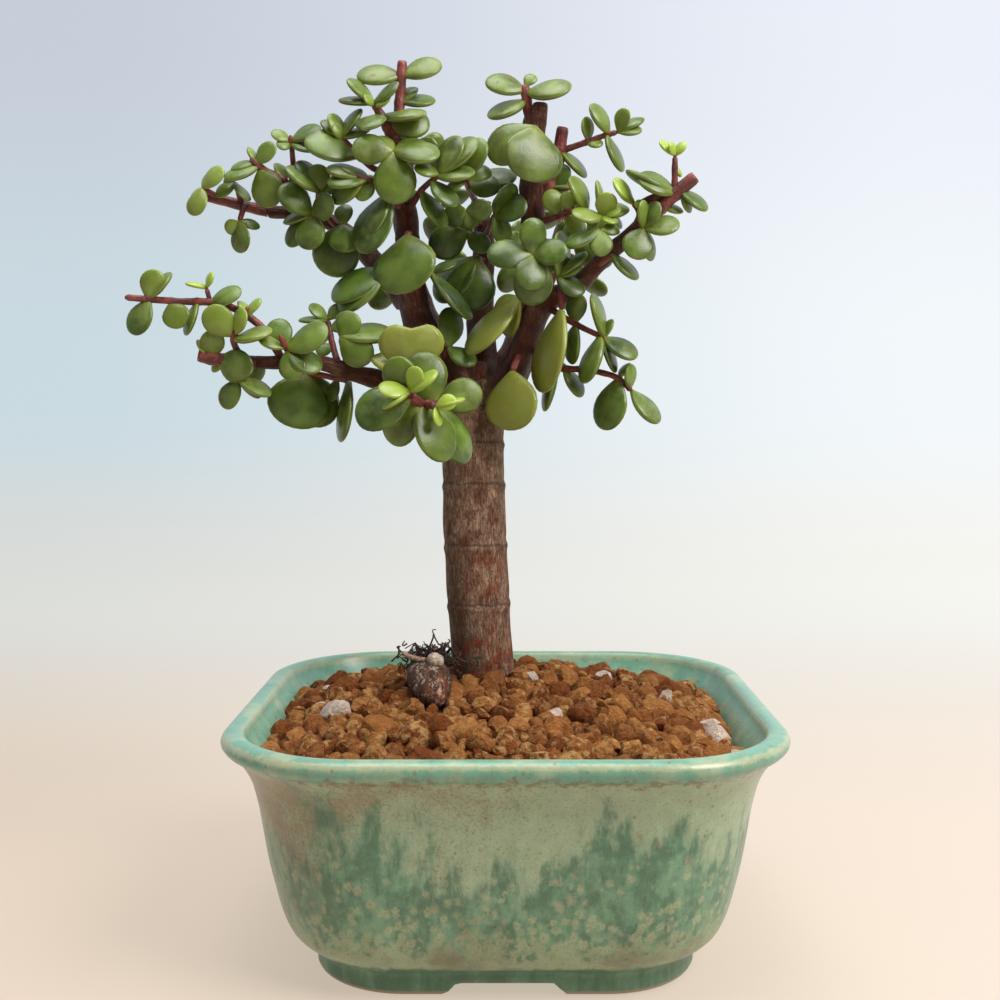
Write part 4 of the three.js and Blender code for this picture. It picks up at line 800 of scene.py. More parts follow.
def rgb(code: str) -> Colour:
    """A colour given as six hex digits, turned to linear light.

    Args:
        code: Six hex digits.

    Returns:
        The colour with full alpha.
    """
    parts = np.array([int(code[k : k + 2], 16) / 255 for k in (0, 2, 4)])
    linear = np.where(parts <= 0.04045, parts / 12.92, ((parts + 0.055) / 1.055) ** 2.4)
    return (float(linear[0]), float(linear[1]), float(linear[2]), 1.0)


class Graph:
    """Short calls that add nodes to a shader tree and return their output sockets."""

    def __init__(self, tree: bpy.types.NodeTree) -> None:
        """Takes the tree that the nodes go into."""
        self.tree = tree

    def add(self, kind: str, **settings: object) -> bpy.types.Node:
        """Adds a shader node and sets its properties."""
        node = self.tree.nodes.new("ShaderNode" + kind)
        for key, value in settings.items():
            setattr(node, key, value)
        return node

    def feed(self, socket: Socket, value: object) -> None:
        """Links a socket to an input, or sets a plain value on it."""
        if isinstance(value, Socket):
            self.tree.links.new(value, socket)
        else:
            socket.default_value = value

    def plug(self, node: bpy.types.Node, **values: object) -> bpy.types.Node:
        """Feeds a node's inputs by name, with underscores for spaces, and returns the node."""
        for key, value in values.items():
            self.feed(node.inputs[key.replace("_", " ")], value)
        return node

    def math(self, operation: str, *values: object) -> Socket:
        """A Math node of one to three values."""
        node = self.add("Math", operation=operation)
        for socket, value in zip(node.inputs, values):
            self.feed(socket, value)
        return node.outputs[0]

    def mul(self, a: object, b: object) -> Socket:
        """The product of two values."""
        return self.math("MULTIPLY", a, b)

    def mad(self, a: object, b: object, c: object) -> Socket:
        """The product of two values with a third added."""
        return self.math("MULTIPLY_ADD", a, b, c)

    def sub(self, a: object, b: object) -> Socket:
        """The first value less the second."""
        return self.math("SUBTRACT", a, b)

    def swing(self, noise: Socket, amount: float, base: object) -> Socket:
        """A value moved by a noise about the noise's mean of a half."""
        return self.mad(self.sub(noise, 0.5), amount, base)

    def step(self, value: object, low: float, high: float) -> Socket:
        """A smooth step from 0 at low to 1 at high; low may be above high."""
        node = self.add("MapRange", interpolation_type="SMOOTHSTEP")
        ends = (low, high, 0.0, 1.0) if low < high else (high, low, 1.0, 0.0)
        for socket, number in zip(node.inputs, (value, *ends)):
            self.feed(socket, number)
        return node.outputs[0]

    def band(self, value: object, centre: float, half: float) -> Socket:
        """A soft stripe: 1 at the centre, 0 further than half from it."""
        return self.step(self.math("ABSOLUTE", self.sub(value, centre)), half, half * 0.35)

    def mix(self, share: object, a: object, b: object, blend: str = "MIX") -> Socket:
        """A colour mix of a and b."""
        node = self.add("Mix", data_type="RGBA", blend_type=blend, clamp_factor=True)
        for socket, value in zip((node.inputs[0], node.inputs[6], node.inputs[7]), (share, a, b)):
            self.feed(socket, value)
        return node.outputs[2]

    def over(self, body: object, colour: object, mask: object, strength: float = 1.0) -> Socket:
        """A colour laid over a body where the mask is, at a strength."""
        return self.mix(mask if strength == 1.0 else self.mul(mask, strength), body, colour)

    def scaled(self, vector: object, scale: Triple, offset: Triple = (0, 0, 0)) -> Socket:
        """A vector through a Mapping node."""
        return self.plug(self.add("Mapping"), Vector=vector, Location=offset, Scale=scale).outputs[0]

    def noise(
        self, vector: object, scale: float, detail: float = 3.0, rough: float = 0.55, warp: float = 0.0
    ) -> Socket:
        """Cloudy noise from about 0.25 to 0.75 round 0.5."""
        node = self.add("TexNoise")
        self.plug(node, Vector=vector, Scale=scale, Detail=detail, Roughness=rough, Distortion=warp)
        return node.outputs["Fac"]

    def wander(self, vector: Socket, scale: float, reach: Triple) -> Socket:
        """A vector moved to and fro by three noises at once, each times its reach."""
        noise = self.plug(self.add("TexNoise"), Vector=vector, Scale=scale)
        centred = self.add("VectorMath", operation="SUBTRACT")
        moved = self.add("VectorMath", operation="MULTIPLY_ADD")
        for node, values in (
            (centred, (noise.outputs["Color"], (0.5, 0.5, 0.5))),
            (moved, (centred.outputs[0], reach, vector)),
        ):
            for socket, value in zip(node.inputs, values):
                self.feed(socket, value)
        return moved.outputs[0]

    def parts(self, vector: object) -> list[Socket]:
        """The three numbers of a vector."""
        return list(self.plug(self.add("SeparateXYZ"), Vector=vector).outputs)

    def shades(self, colour: object) -> list[Socket]:
        """The three numbers of a colour."""
        return list(self.plug(self.add("SeparateColor"), Color=colour).outputs)

    def place(self) -> Socket:
        """The place of a point in its object."""
        return self.add("TexCoord").outputs["Object"]

    def grain(self) -> Socket:
        """The place of a point on its straightened limb or blade."""
        return self.add("Attribute", attribute_name="grain").outputs["Vector"]

    def tint(self) -> list[Socket]:
        """The four shades of a point."""
        mark = self.add("Attribute", attribute_name="tint")
        return [*self.shades(mark.outputs["Color"]), mark.outputs["Alpha"]]

    def bump(self, height: object, depth: float, strength: float = 1.0) -> Socket:
        """A normal from a height, in metres for a height of one."""
        node = self.add("Bump")
        return self.plug(node, Strength=strength, Distance=depth, Height=height).outputs[0]

    def group(self, tree: bpy.types.NodeTree, **values: object) -> bpy.types.Node:
        """A group node with its inputs fed by name."""
        return self.plug(self.add("Group", node_tree=tree), **values)


def new_group(
    name: str, inputs: dict[str, str], outputs: dict[str, str]
) -> tuple[Graph, dict[str, Socket], bpy.types.Node]:
    """Starts a shader node group.

    Args:
        name: Name of the group.
        inputs: Name and socket type of each input.
        outputs: Name and socket type of each output.

    Returns:
        The group's graph, its inputs by name and its output node.
    """
    tree = bpy.data.node_groups.new(name, "ShaderNodeTree")
    for direction, sockets in (("INPUT", inputs), ("OUTPUT", outputs)):
        for label, kind in sockets.items():
            tree.interface.new_socket(label, in_out=direction, socket_type="NodeSocket" + kind)
    given = tree.nodes.new("NodeGroupInput")
    return Graph(tree), {label: given.outputs[label] for label in inputs}, tree.nodes.new("NodeGroupOutput")


def finish_of(name: str) -> tuple[bpy.types.Material, Graph, bpy.types.Node]:
    """Starts a material.

    Args:
        name: Name of the material.

    Returns:
        The material, its graph and its Principled BSDF.
    """
    material = bpy.data.materials.new(name)
    material.use_nodes = True
    material.node_tree.nodes.clear()
    g = Graph(material.node_tree)
    shader = g.add("BsdfPrincipled")
    g.plug(g.add("OutputMaterial"), Surface=shader.outputs[0])
    return material, g, shader


def mottle_group() -> bpy.types.NodeTree:
    """A group that makes a colour cloudier: two sizes of noise lighten and darken it.

    Returns:
        The group, with inputs Colour, Place, Scale and Amount and outputs Colour and Height.
    """
    inputs = {"Colour": "Color", "Place": "Vector", "Scale": "Float", "Amount": "Float"}
    g, given, put = new_group("cloudy_shade", inputs, {"Colour": "Color", "Height": "Float"})
    coarse = g.plug(g.add("TexNoise"), Vector=given["Place"], Scale=given["Scale"], Detail=4.0)
    fine = g.plug(g.add("TexNoise"), Vector=given["Place"], Scale=g.mul(given["Scale"], 6.3), Detail=2.0)
    both = g.mad(fine.outputs["Fac"], 0.5, coarse.outputs["Fac"])
    gain = g.mad(g.sub(both, 0.75), given["Amount"], 1.0)
    grey = g.plug(g.add("CombineColor"), Red=gain, Green=gain, Blue=gain)
    g.plug(put, Colour=g.mix(1.0, given["Colour"], grey.outputs[0], "MULTIPLY"), Height=both)
    return g.tree


def speck_group() -> bpy.types.NodeTree:
    """A group that gives scattered specks: cells whose random shade passes a threshold.

    Returns:
        The group, with inputs Place, Scale and Share and output Mask.
    """
    inputs = {"Place": "Vector", "Scale": "Float", "Share": "Float"}
    g, given, put = new_group("scattered_specks", inputs, {"Mask": "Float"})
    cells = g.plug(g.add("TexVoronoi"), Vector=given["Place"], Scale=given["Scale"])
    chosen = g.math("LESS_THAN", g.shades(cells.outputs["Color"])[0], given["Share"])
    g.plug(put, Mask=g.mul(chosen, g.step(cells.outputs["Distance"], 0.42, 0.18)))
    return g.tree


def fissure_group() -> bpy.types.NodeTree:
    """A group for wood fibre: noise drawn out along the limb, thin dark cracks where it crosses its mean.

    Returns:
        The group, with inputs Grain, Scale and Stretch and outputs Cracks and Height.
    """
    inputs = {"Grain": "Vector", "Scale": "Float", "Stretch": "Float"}
    g, given, put = new_group("long_fissures", inputs, {"Cracks": "Float", "Height": "Float"})
    x, y, z = g.parts(given["Grain"])
    drawn_out = g.plug(g.add("CombineXYZ"), X=x, Y=y, Z=g.mul(z, given["Stretch"]))
    value = g.noise(drawn_out.outputs[0], given["Scale"], 5.0, 0.6, 0.6)
    cracks = g.step(g.math("ABSOLUTE", g.sub(value, 0.5)), 0.035, 0.006)
    g.plug(put, Cracks=cracks, Height=g.mad(cracks, -0.35, value))
    return g.tree


@dataclass(frozen=True)
class SharedEffects:
    """The shader groups that several finishes use.

    Attributes:
        mottle: Cloudy lightening and darkening of a colour.
        specks: Scattered small specks.
        fissures: Fibre and cracks along a limb.
    """

    mottle: bpy.types.NodeTree
    specks: bpy.types.NodeTree
    fissures: bpy.types.NodeTree


# ---------------------------------------------------------------- finishes
@dataclass(frozen=True)
class Glaze:
    """Running copper-green stoneware glaze.

    Attributes:
        celadon: Upper wall, where the glaze is thin.
        tan: Where it breaks to tan.
        teal: Where it runs thick.
        deep: Thickest runs and the foot.
        crystal: Pale crystals in the runs.
        lip: Flat of the lip and the inside.
        cream: Break lines on the lip's edges, in part a painted highlight along them.
        rust: Broken line under the lip, and iron freckles.
        clay: Bare edge of the foot.
    """

    celadon: Colour = rgb("9AAC8C")
    tan: Colour = rgb("8A7F62")
    teal: Colour = rgb("6E9777")
    deep: Colour = rgb("4A7257")
    crystal: Colour = rgb("A3AC87")
    lip: Colour = rgb("6C9C84")
    cream: Colour = rgb("A9A985")
    rust: Colour = rgb("75553A")
    clay: Colour = rgb("94866A")

    def make(self, shared: SharedEffects) -> bpy.types.Material:
        """Builds the glaze.

        Height above the table decides between the thin upper glaze, the runs and the foot; noise drawn
        out upwards makes the runs; the place across the lip decides its break lines, which are in part a
        painted highlight.

        Args:
            shared: The shader groups.

        Returns:
            The material.
        """
        material, g, shader = finish_of("green_glaze")
        place = g.place()
        side, _, high = g.parts(place)
        across_lip = g.parts(g.add("UVMap", uv_map="UVMap").outputs[0])[1]
        streaks = g.noise(g.scaled(place, (1, 1, 0.34)), 170, 5, 0.66, 0.15)
        hairs = g.noise(g.scaled(place, (1, 1, 0.22)), 480, 4, 0.7)
        strokes = g.noise(g.scaled(place, (1, 1, 0.34)), 58, 3, 0.5)
        cloud = g.noise(place, 55, 4)
        dust = g.noise(place, 1300, 3, 0.7)
        crumbs = g.noise(place, 300, 4, 0.6)
        # thin upper glaze: celadon with tan clouds, browner to one side
        lean = g.mad(side, -3.4, cloud)
        lean = g.swing(dust, 0.5, lean)
        thin = g.mix(g.step(lean, 0.46, 0.80), self.celadon, self.tan)
        # runs: their feathered upper edge swings with strokes, streaks and fine hairs
        edge = g.swing(streaks, 0.050, high)
        edge = g.swing(strokes, 0.090, edge)
        edge = g.swing(hairs, 0.030, edge)
        runs = g.step(edge, 0.0550, 0.0370)
        thick = g.mix(g.step(g.mad(crumbs, 0.5, streaks), 0.62, 0.88), self.deep, self.teal)
        body = g.mix(g.mul(runs, 0.94), thin, thick)
        # pale ragged crystals with a rusty heart, ever closer towards the belly
        blots = g.noise(g.scaled(place, (1, 1, 0.6)), 330, 5, 0.64, 0.2)
        ragged = g.scaled(g.wander(place, 700, (0.0020, 0.0020, 0.0028)), (1, 1, 0.8))
        spots = g.plug(g.add("TexVoronoi"), Vector=ragged, Scale=390.0)
        chance = g.shades(spots.outputs["Color"])[0]
        share = g.mad(g.sub(0.048, high), 30.0, cloud)
        share = g.sub(share, 0.38)
        size = g.mad(g.sub(0.045, high), 9.0, 0.58)
        size = g.mad(g.shades(spots.outputs["Color"])[1], -0.22, size)
        rim_of = g.sub(size, spots.outputs["Distance"])
        chosen = g.step(g.sub(share, chance), 0.0, 0.06)
        crystals = g.mul(g.step(rim_of, -0.06, 0.40), chosen)
        belly = g.swing(blots, 0.03, high)
        crystals = g.math("MAXIMUM", crystals, g.step(belly, 0.0185, 0.0145))
        pale = g.mix(g.step(cloud, 0.46, 0.70), self.crystal, self.tan)
        body = g.over(body, pale, crystals, 0.72)
        heart = g.mul(g.step(spots.outputs["Distance"], 0.22, 0.06), crystals)
        body = g.over(body, self.rust, heart, 0.34)
        # foot: darker again below a fuzzy line, with pale washes
        foot_edge = g.swing(blots, 0.007, high)
        foot = g.step(foot_edge, 0.0104, 0.0080)
        wash = g.step(streaks, 0.40, 0.66)
        body = g.over(body, g.mix(g.mul(wash, 0.7), self.deep, self.teal), foot)
        # lip: turquoise flat, cream crest, turquoise again, then rust where it meets the wall; the cream
        # lines at the crest and the inner edge are in part a painted highlight
        wobble = g.swing(blots, 0.0035, across_lip)
        tone = g.mix(g.step(g.noise(place, 90, 3), 0.48, 0.76), self.lip, self.celadon)
        body = g.over(body, tone, g.step(wobble, -0.0096, -0.0086))
        crest = g.band(wobble, -0.0030, 0.0013)
        inner = g.band(wobble, 0.0034, 0.0016)
        lines = g.mad(inner, 0.5, g.mul(crest, 0.7))
        body = g.over(body, self.cream, lines)
        ragged_lip = g.swing(blots, 0.016, across_lip)
        seam = g.mul(g.band(ragged_lip, -0.0090, 0.0024), g.step(crumbs, 0.40, 0.58))
        body = g.over(body, self.rust, seam, 0.66)
        runs_in = g.mul(g.step(streaks, 0.50, 0.64), g.step(across_lip, 0.006, 0.009))
        body = g.over(body, self.cream, runs_in, 0.45)
        # iron freckles all over the wall, thickest in the tan and the crystals
        freckle = g.mul(g.step(dust, 0.56, 0.66), g.step(across_lip, -0.006, -0.010))
        fewer = g.mad(runs, -0.30, 0.42)
        fewer = g.mad(crystals, 0.30, fewer)
        body = g.over(body, self.rust, g.mul(freckle, fewer))
        specks = g.group(shared.specks, Place=place, Scale=620.0, Share=0.05).outputs[0]
        body = g.over(body, self.rust, specks, 0.5)
        body = g.over(body, self.clay, g.step(high, 0.0016, 0.0008))
        mottled = g.group(shared.mottle, Colour=body, Place=place, Scale=240.0, Amount=0.5)
        rough = g.mad(mottled.outputs[1], 0.22, 0.16)
        relief = g.mad(streaks, 0.6, mottled.outputs[1])
        g.plug(
            shader, Base_Color=mottled.outputs[0], Roughness=g.mad(crystals, 0.12, rough),
            Normal=g.bump(relief, 0.0005, 0.3), Coat_Weight=0.2, Coat_Roughness=0.18,
        )
        return material


@dataclass(frozen=True)
class Granule:
    """Fired volcanic clay, with a few pumice grains.

    Attributes:
        rust: The redder grains.
        tan: The paler grains.
        dust: Dust in patches on some grains.
        pumice: Pinkish white grains.
        bark: Dark crumbs, and painted shade on the fill between the grains.
    """

    rust: Colour = rgb("80421C")
    tan: Colour = rgb("C08145")
    dust: Colour = rgb("D2A468")
    pumice: Colour = rgb("E6CFBC")
    bark: Colour = rgb("40291C")

    def make(self, shared: SharedEffects) -> bpy.types.Material:
        """Builds the grains' finish: the tint picks each grain's kind, noise its pitted face.

        Args:
            shared: The shader groups.

        Returns:
            The material.
        """
        material, g, shader = finish_of("fired_clay_grain")
        place = g.place()
        red, green, blue, crumb_and_gap_shade = g.tint()
        pits = g.noise(place, 1300, 5, 0.75)
        crust = g.noise(place, 460, 3, 0.6)
        body = g.mix(red, self.rust, self.tan)
        body = g.over(body, self.dust, g.mul(green, g.step(crust, 0.44, 0.62)))
        body = g.over(body, self.bark, g.step(pits, 0.46, 0.32), 0.4)
        body = g.over(body, self.pumice, g.step(blue, 0.6, 0.9))
        # dark crumbs among the grains, and painted shade on the fill that shows between them
        body = g.over(body, self.bark, g.step(crumb_and_gap_shade, 0.5, 0.9))
        mottled = g.group(shared.mottle, Colour=body, Place=place, Scale=520.0, Amount=1.0)
        relief = g.mad(crust, 1.6, pits)
        g.plug(
            shader, Base_Color=mottled.outputs[0], Roughness=0.95, Specular_IOR_Level=0.2,
            Normal=g.bump(relief, 0.0017, 1.0),
        )
        return material


@dataclass(frozen=True)
class Bark:
    """Old jade bark on the trunk, redder and smoother on the boughs.

    Attributes:
        grey: Weathered bark.
        brown: Body of the bark.
        red: Warm patches.
        bough: The thinner boughs.
        olive: Green-tinged patches.
        dark: Cracks and the lines of old leaf scars.
        cut: Healed cut ends.
    """

    grey: Colour = rgb("AC8A70")
    brown: Colour = rgb("704630")
    red: Colour = rgb("94482E")
    bough: Colour = rgb("5E2A1B")
    olive: Colour = rgb("6A5A3A")
    dark: Colour = rgb("321C12")
    cut: Colour = rgb("8C5A3A")

    def make(self, shared: SharedEffects) -> bpy.types.Material:
        """Builds the bark along the limb's grain.

        The tint's first shade is how thin the limb is, its second the ring scars, its third cut ends
        and its fourth the warm foot of the trunk.

        Args:
            shared: The shader groups.

        Returns:
            The material.
        """
        material, g, shader = finish_of("jade_bark")
        grain = g.grain()
        thin, scar, cut, warm = g.tint()
        coarse = g.group(shared.fissures, Grain=grain, Scale=820.0, Stretch=0.22)
        fine = g.group(shared.fissures, Grain=grain, Scale=1700.0, Stretch=0.2)
        patch = g.noise(g.scaled(grain, (1, 1, 0.8)), 230, 4, 0.6)
        tone = g.noise(g.scaled(grain, (1, 1, 0.4), (0.3, 0.1, 0.2)), 60, 2)
        body = g.mix(g.step(patch, 0.24, 0.70), self.brown, self.grey)
        body = g.over(body, self.olive, g.step(tone, 0.46, 0.62), 0.6)
        body = g.over(body, self.red, g.mul(g.step(patch, 0.60, 0.34), warm))
        body = g.over(body, self.bough, thin, 0.9)
        worn = g.mul(g.step(patch, 0.54, 0.70), thin)
        body = g.over(body, self.grey, worn, 0.22)
        cracks = g.math("MAXIMUM", g.mul(coarse.outputs["Cracks"], 0.9), g.mul(fine.outputs["Cracks"], 0.6))
        depth = g.mad(thin, -0.4, 0.7)
        body = g.over(body, self.dark, g.mul(cracks, depth))
        body = g.over(body, self.dark, scar, 0.8)
        body = g.over(body, g.mix(patch, self.dark, self.cut), cut)
        mottled = g.group(shared.mottle, Colour=body, Place=grain, Scale=300.0, Amount=0.8)
        height = g.mad(fine.outputs[1], 0.4, coarse.outputs[1])
        height = g.mad(scar, -0.5, height)
        g.plug(
            shader, Base_Color=mottled.outputs[0], Roughness=g.mad(thin, -0.32, 0.74),
            Normal=g.bump(height, 0.0014, 0.9), Specular_IOR_Level=0.35,
        )
        return material


@dataclass(frozen=True)
class OldRoot:
    """The dead stub beside the trunk: dark wood, whitish crust and a red heart.

    Attributes:
        wood: Dark wood.
        crust: Lime crust.
        heart: Red torn heart.
        fibre: Dark root hairs.
    """

    wood: Colour = rgb("583A2A")
    crust: Colour = rgb("E0C8B4")
    heart: Colour = rgb("A05A32")
    fibre: Colour = rgb("4C352A")

    def make(self, shared: SharedEffects) -> bpy.types.Material:
        """Builds the stub's finish; the tint's shades are the red heart, the fibres and what is pale.

        Args:
            shared: The shader groups.

        Returns:
            The material.
        """
        material, g, shader = finish_of("old_root")
        place = g.place()
        heart, fibre, pale, _ = g.tint()
        crusty = g.noise(place, 520, 5, 0.7)
        patches = g.noise(place, 190, 3, 0.6)
        body = g.mix(heart, self.wood, self.heart)
        body = g.over(body, self.wood, g.step(patches, 0.56, 0.36), 0.7)
        body = g.over(body, self.crust, g.step(crusty, 0.50, 0.64), 0.8)
        rifts = g.group(shared.fissures, Grain=place, Scale=520.0, Stretch=0.4)
        body = g.over(body, self.fibre, rifts.outputs[0])
        body = g.over(body, self.fibre, fibre)
        body = g.over(body, g.mix(heart, self.crust, self.heart), pale)
        g.plug(
            shader, Base_Color=body, Roughness=0.8,
            Normal=g.bump(g.math("ADD", crusty, rifts.outputs[1]), 0.0020, 1.0),
        )
        return material


@dataclass(frozen=True)
class YoungStem:
    """Maroon skin of the young stems, browner where they are thick.

    Attributes:
        maroon: Skin of the stem.
        bright: Its lit ridges.
        brown: Corky patches.
        cut: Cut ends.
    """

    maroon: Colour = rgb("5A2422")
    bright: Colour = rgb("8C4038")
    brown: Colour = rgb("5C4030")
    cut: Colour = rgb("B07A4C")

    def make(self, shared: SharedEffects) -> bpy.types.Material:
        """Builds the skin along the stem's grain; the tint's first shade is a cut end.

        Args:
            shared: The shader groups.

        Returns:
            The material.
        """
        material, g, shader = finish_of("young_stem")
        grain = g.grain()
        cut = g.tint()[0]
        lines = g.group(shared.fissures, Grain=grain, Scale=900.0, Stretch=0.15)
        patch = g.noise(grain, 260, 3)
        body = g.mix(g.step(patch, 0.40, 0.62), self.maroon, self.bright)
        body = g.over(body, self.brown, g.step(patch, 0.60, 0.70))
        body = g.over(body, self.brown, lines.outputs[0], 0.4)
        body = g.over(body, self.cut, cut)
        g.plug(shader, Base_Color=body, Roughness=0.38, Normal=g.bump(lines.outputs[1], 0.0004, 0.6))
        return material


@dataclass(frozen=True)
class Leaf:
    """Thick waxy jade leaf.

    Attributes:
        deep: Old leaves.
        green: Usual leaves.
        yellow: Ageing yellow-green leaves.
        lime: Fresh tips.
        bloom: Pale wax on the faces.
        edge: Clear pale margin.
        rim: Reddish-brown parts of the margin.
        cork: Scabs.
    """

    deep: Colour = rgb("2E430F")
    green: Colour = rgb("577322")
    yellow: Colour = rgb("868C36")
    lime: Colour = rgb("9DB543")
    bloom: Colour = rgb("9FB06A")
    edge: Colour = rgb("A6AE62")
    rim: Colour = rgb("8A6444")
    cork: Colour = rgb("7E5C3C")

    def make(self, shared: SharedEffects) -> bpy.types.Material:
        """Builds the leaf on its own length and width.

        The tint's shades are how fresh, how yellow and how waxy the leaf is, and how scabbed.

        Args:
            shared: The shader groups; not used.

        Returns:
            The material.
        """
        material, g, shader = finish_of("jade_leaf")
        along, across, _ = g.parts(g.add("UVMap", uv_map="UVMap").outputs[0])
        grain = g.grain()
        fresh, yellow, wax, scab = g.tint()
        cloud = g.noise(grain, 110, 2)
        body = g.mix(g.step(cloud, 0.30, 0.70), self.deep, self.green)
        body = g.over(body, self.yellow, yellow)
        body = g.over(body, self.lime, fresh)
        off = g.math("ABSOLUTE", g.mad(across, 2.0, -1.0))
        # paler foot and midrib
        foot = g.step(along, 0.30, 0.02)
        midrib = g.mul(g.step(off, 0.18, 0.02), g.step(along, 0.7, 0.1))
        pale = g.math("MAXIMUM", g.mul(foot, 0.45), g.mul(midrib, 0.16))
        body = g.over(body, self.yellow, pale)
        # wax: broad and faint, with fine grain, fading near the margin
        film = g.mul(wax, g.step(g.noise(grain, 170, 3, 0.6), 0.38, 0.70))
        film = g.mul(film, g.step(off, 1.0, 0.5))
        body = g.over(body, self.bloom, film, 0.34)
        pores = g.step(g.noise(grain, 2400, 2), 0.60, 0.72)
        body = g.over(body, self.bloom, pores, 0.16)
        # margin: a clear pale line round the blade, reddish in places
        rim = g.math("MAXIMUM", g.step(off, 0.92, 0.995), g.step(along, 0.965, 0.995))
        body = g.over(body, self.edge, rim, 0.34)
        red = g.mul(rim, g.step(cloud, 0.56, 0.64))
        body = g.over(body, self.rim, red, 0.55)
        # corky scabs, mostly towards the margin
        blot = g.noise(grain, 330, 4, 0.6)
        near = g.mad(off, 0.10, g.mad(along, 0.08, blot))
        cork = g.mul(scab, g.step(near, 0.70, 0.74))
        body = g.over(body, self.cork, cork)
        rough = g.mad(film, 0.18, 0.32)
        fine = g.noise(grain, 1900, 2)
        height = g.mad(fine, 0.20, cloud)
        height = g.mad(cork, -0.2, height)
        g.plug(
            shader, Base_Color=body, Roughness=g.mad(cork, 0.3, rough), Normal=g.bump(height, 0.0008, 0.35),
            Subsurface_Weight=0.15, Subsurface_Radius=(0.0012, 0.0020, 0.0006), Subsurface_Scale=1.0,
            Specular_IOR_Level=0.48,
        )
        return material


@dataclass(frozen=True)
class Plastic:
    """Black moulded mesh over the drain holes.

    Attributes:
        colour: Its colour.
    """

    colour: Colour = rgb("1E1F1E")

    def make(self, shared: SharedEffects) -> bpy.types.Material:
        """Builds the plastic with a fine moulded grain.

        Args:
            shared: The shader groups.

        Returns:
            The material.
        """
        material, g, shader = finish_of("drain_mesh_plastic")
        place = g.place()
        mottled = g.group(shared.mottle, Colour=self.colour, Place=place, Scale=900.0, Amount=0.5)
        g.plug(
            shader, Base_Color=mottled.outputs[0], Roughness=0.55,
            Normal=g.bump(mottled.outputs[1], 0.0002, 0.4),
        )
        return material


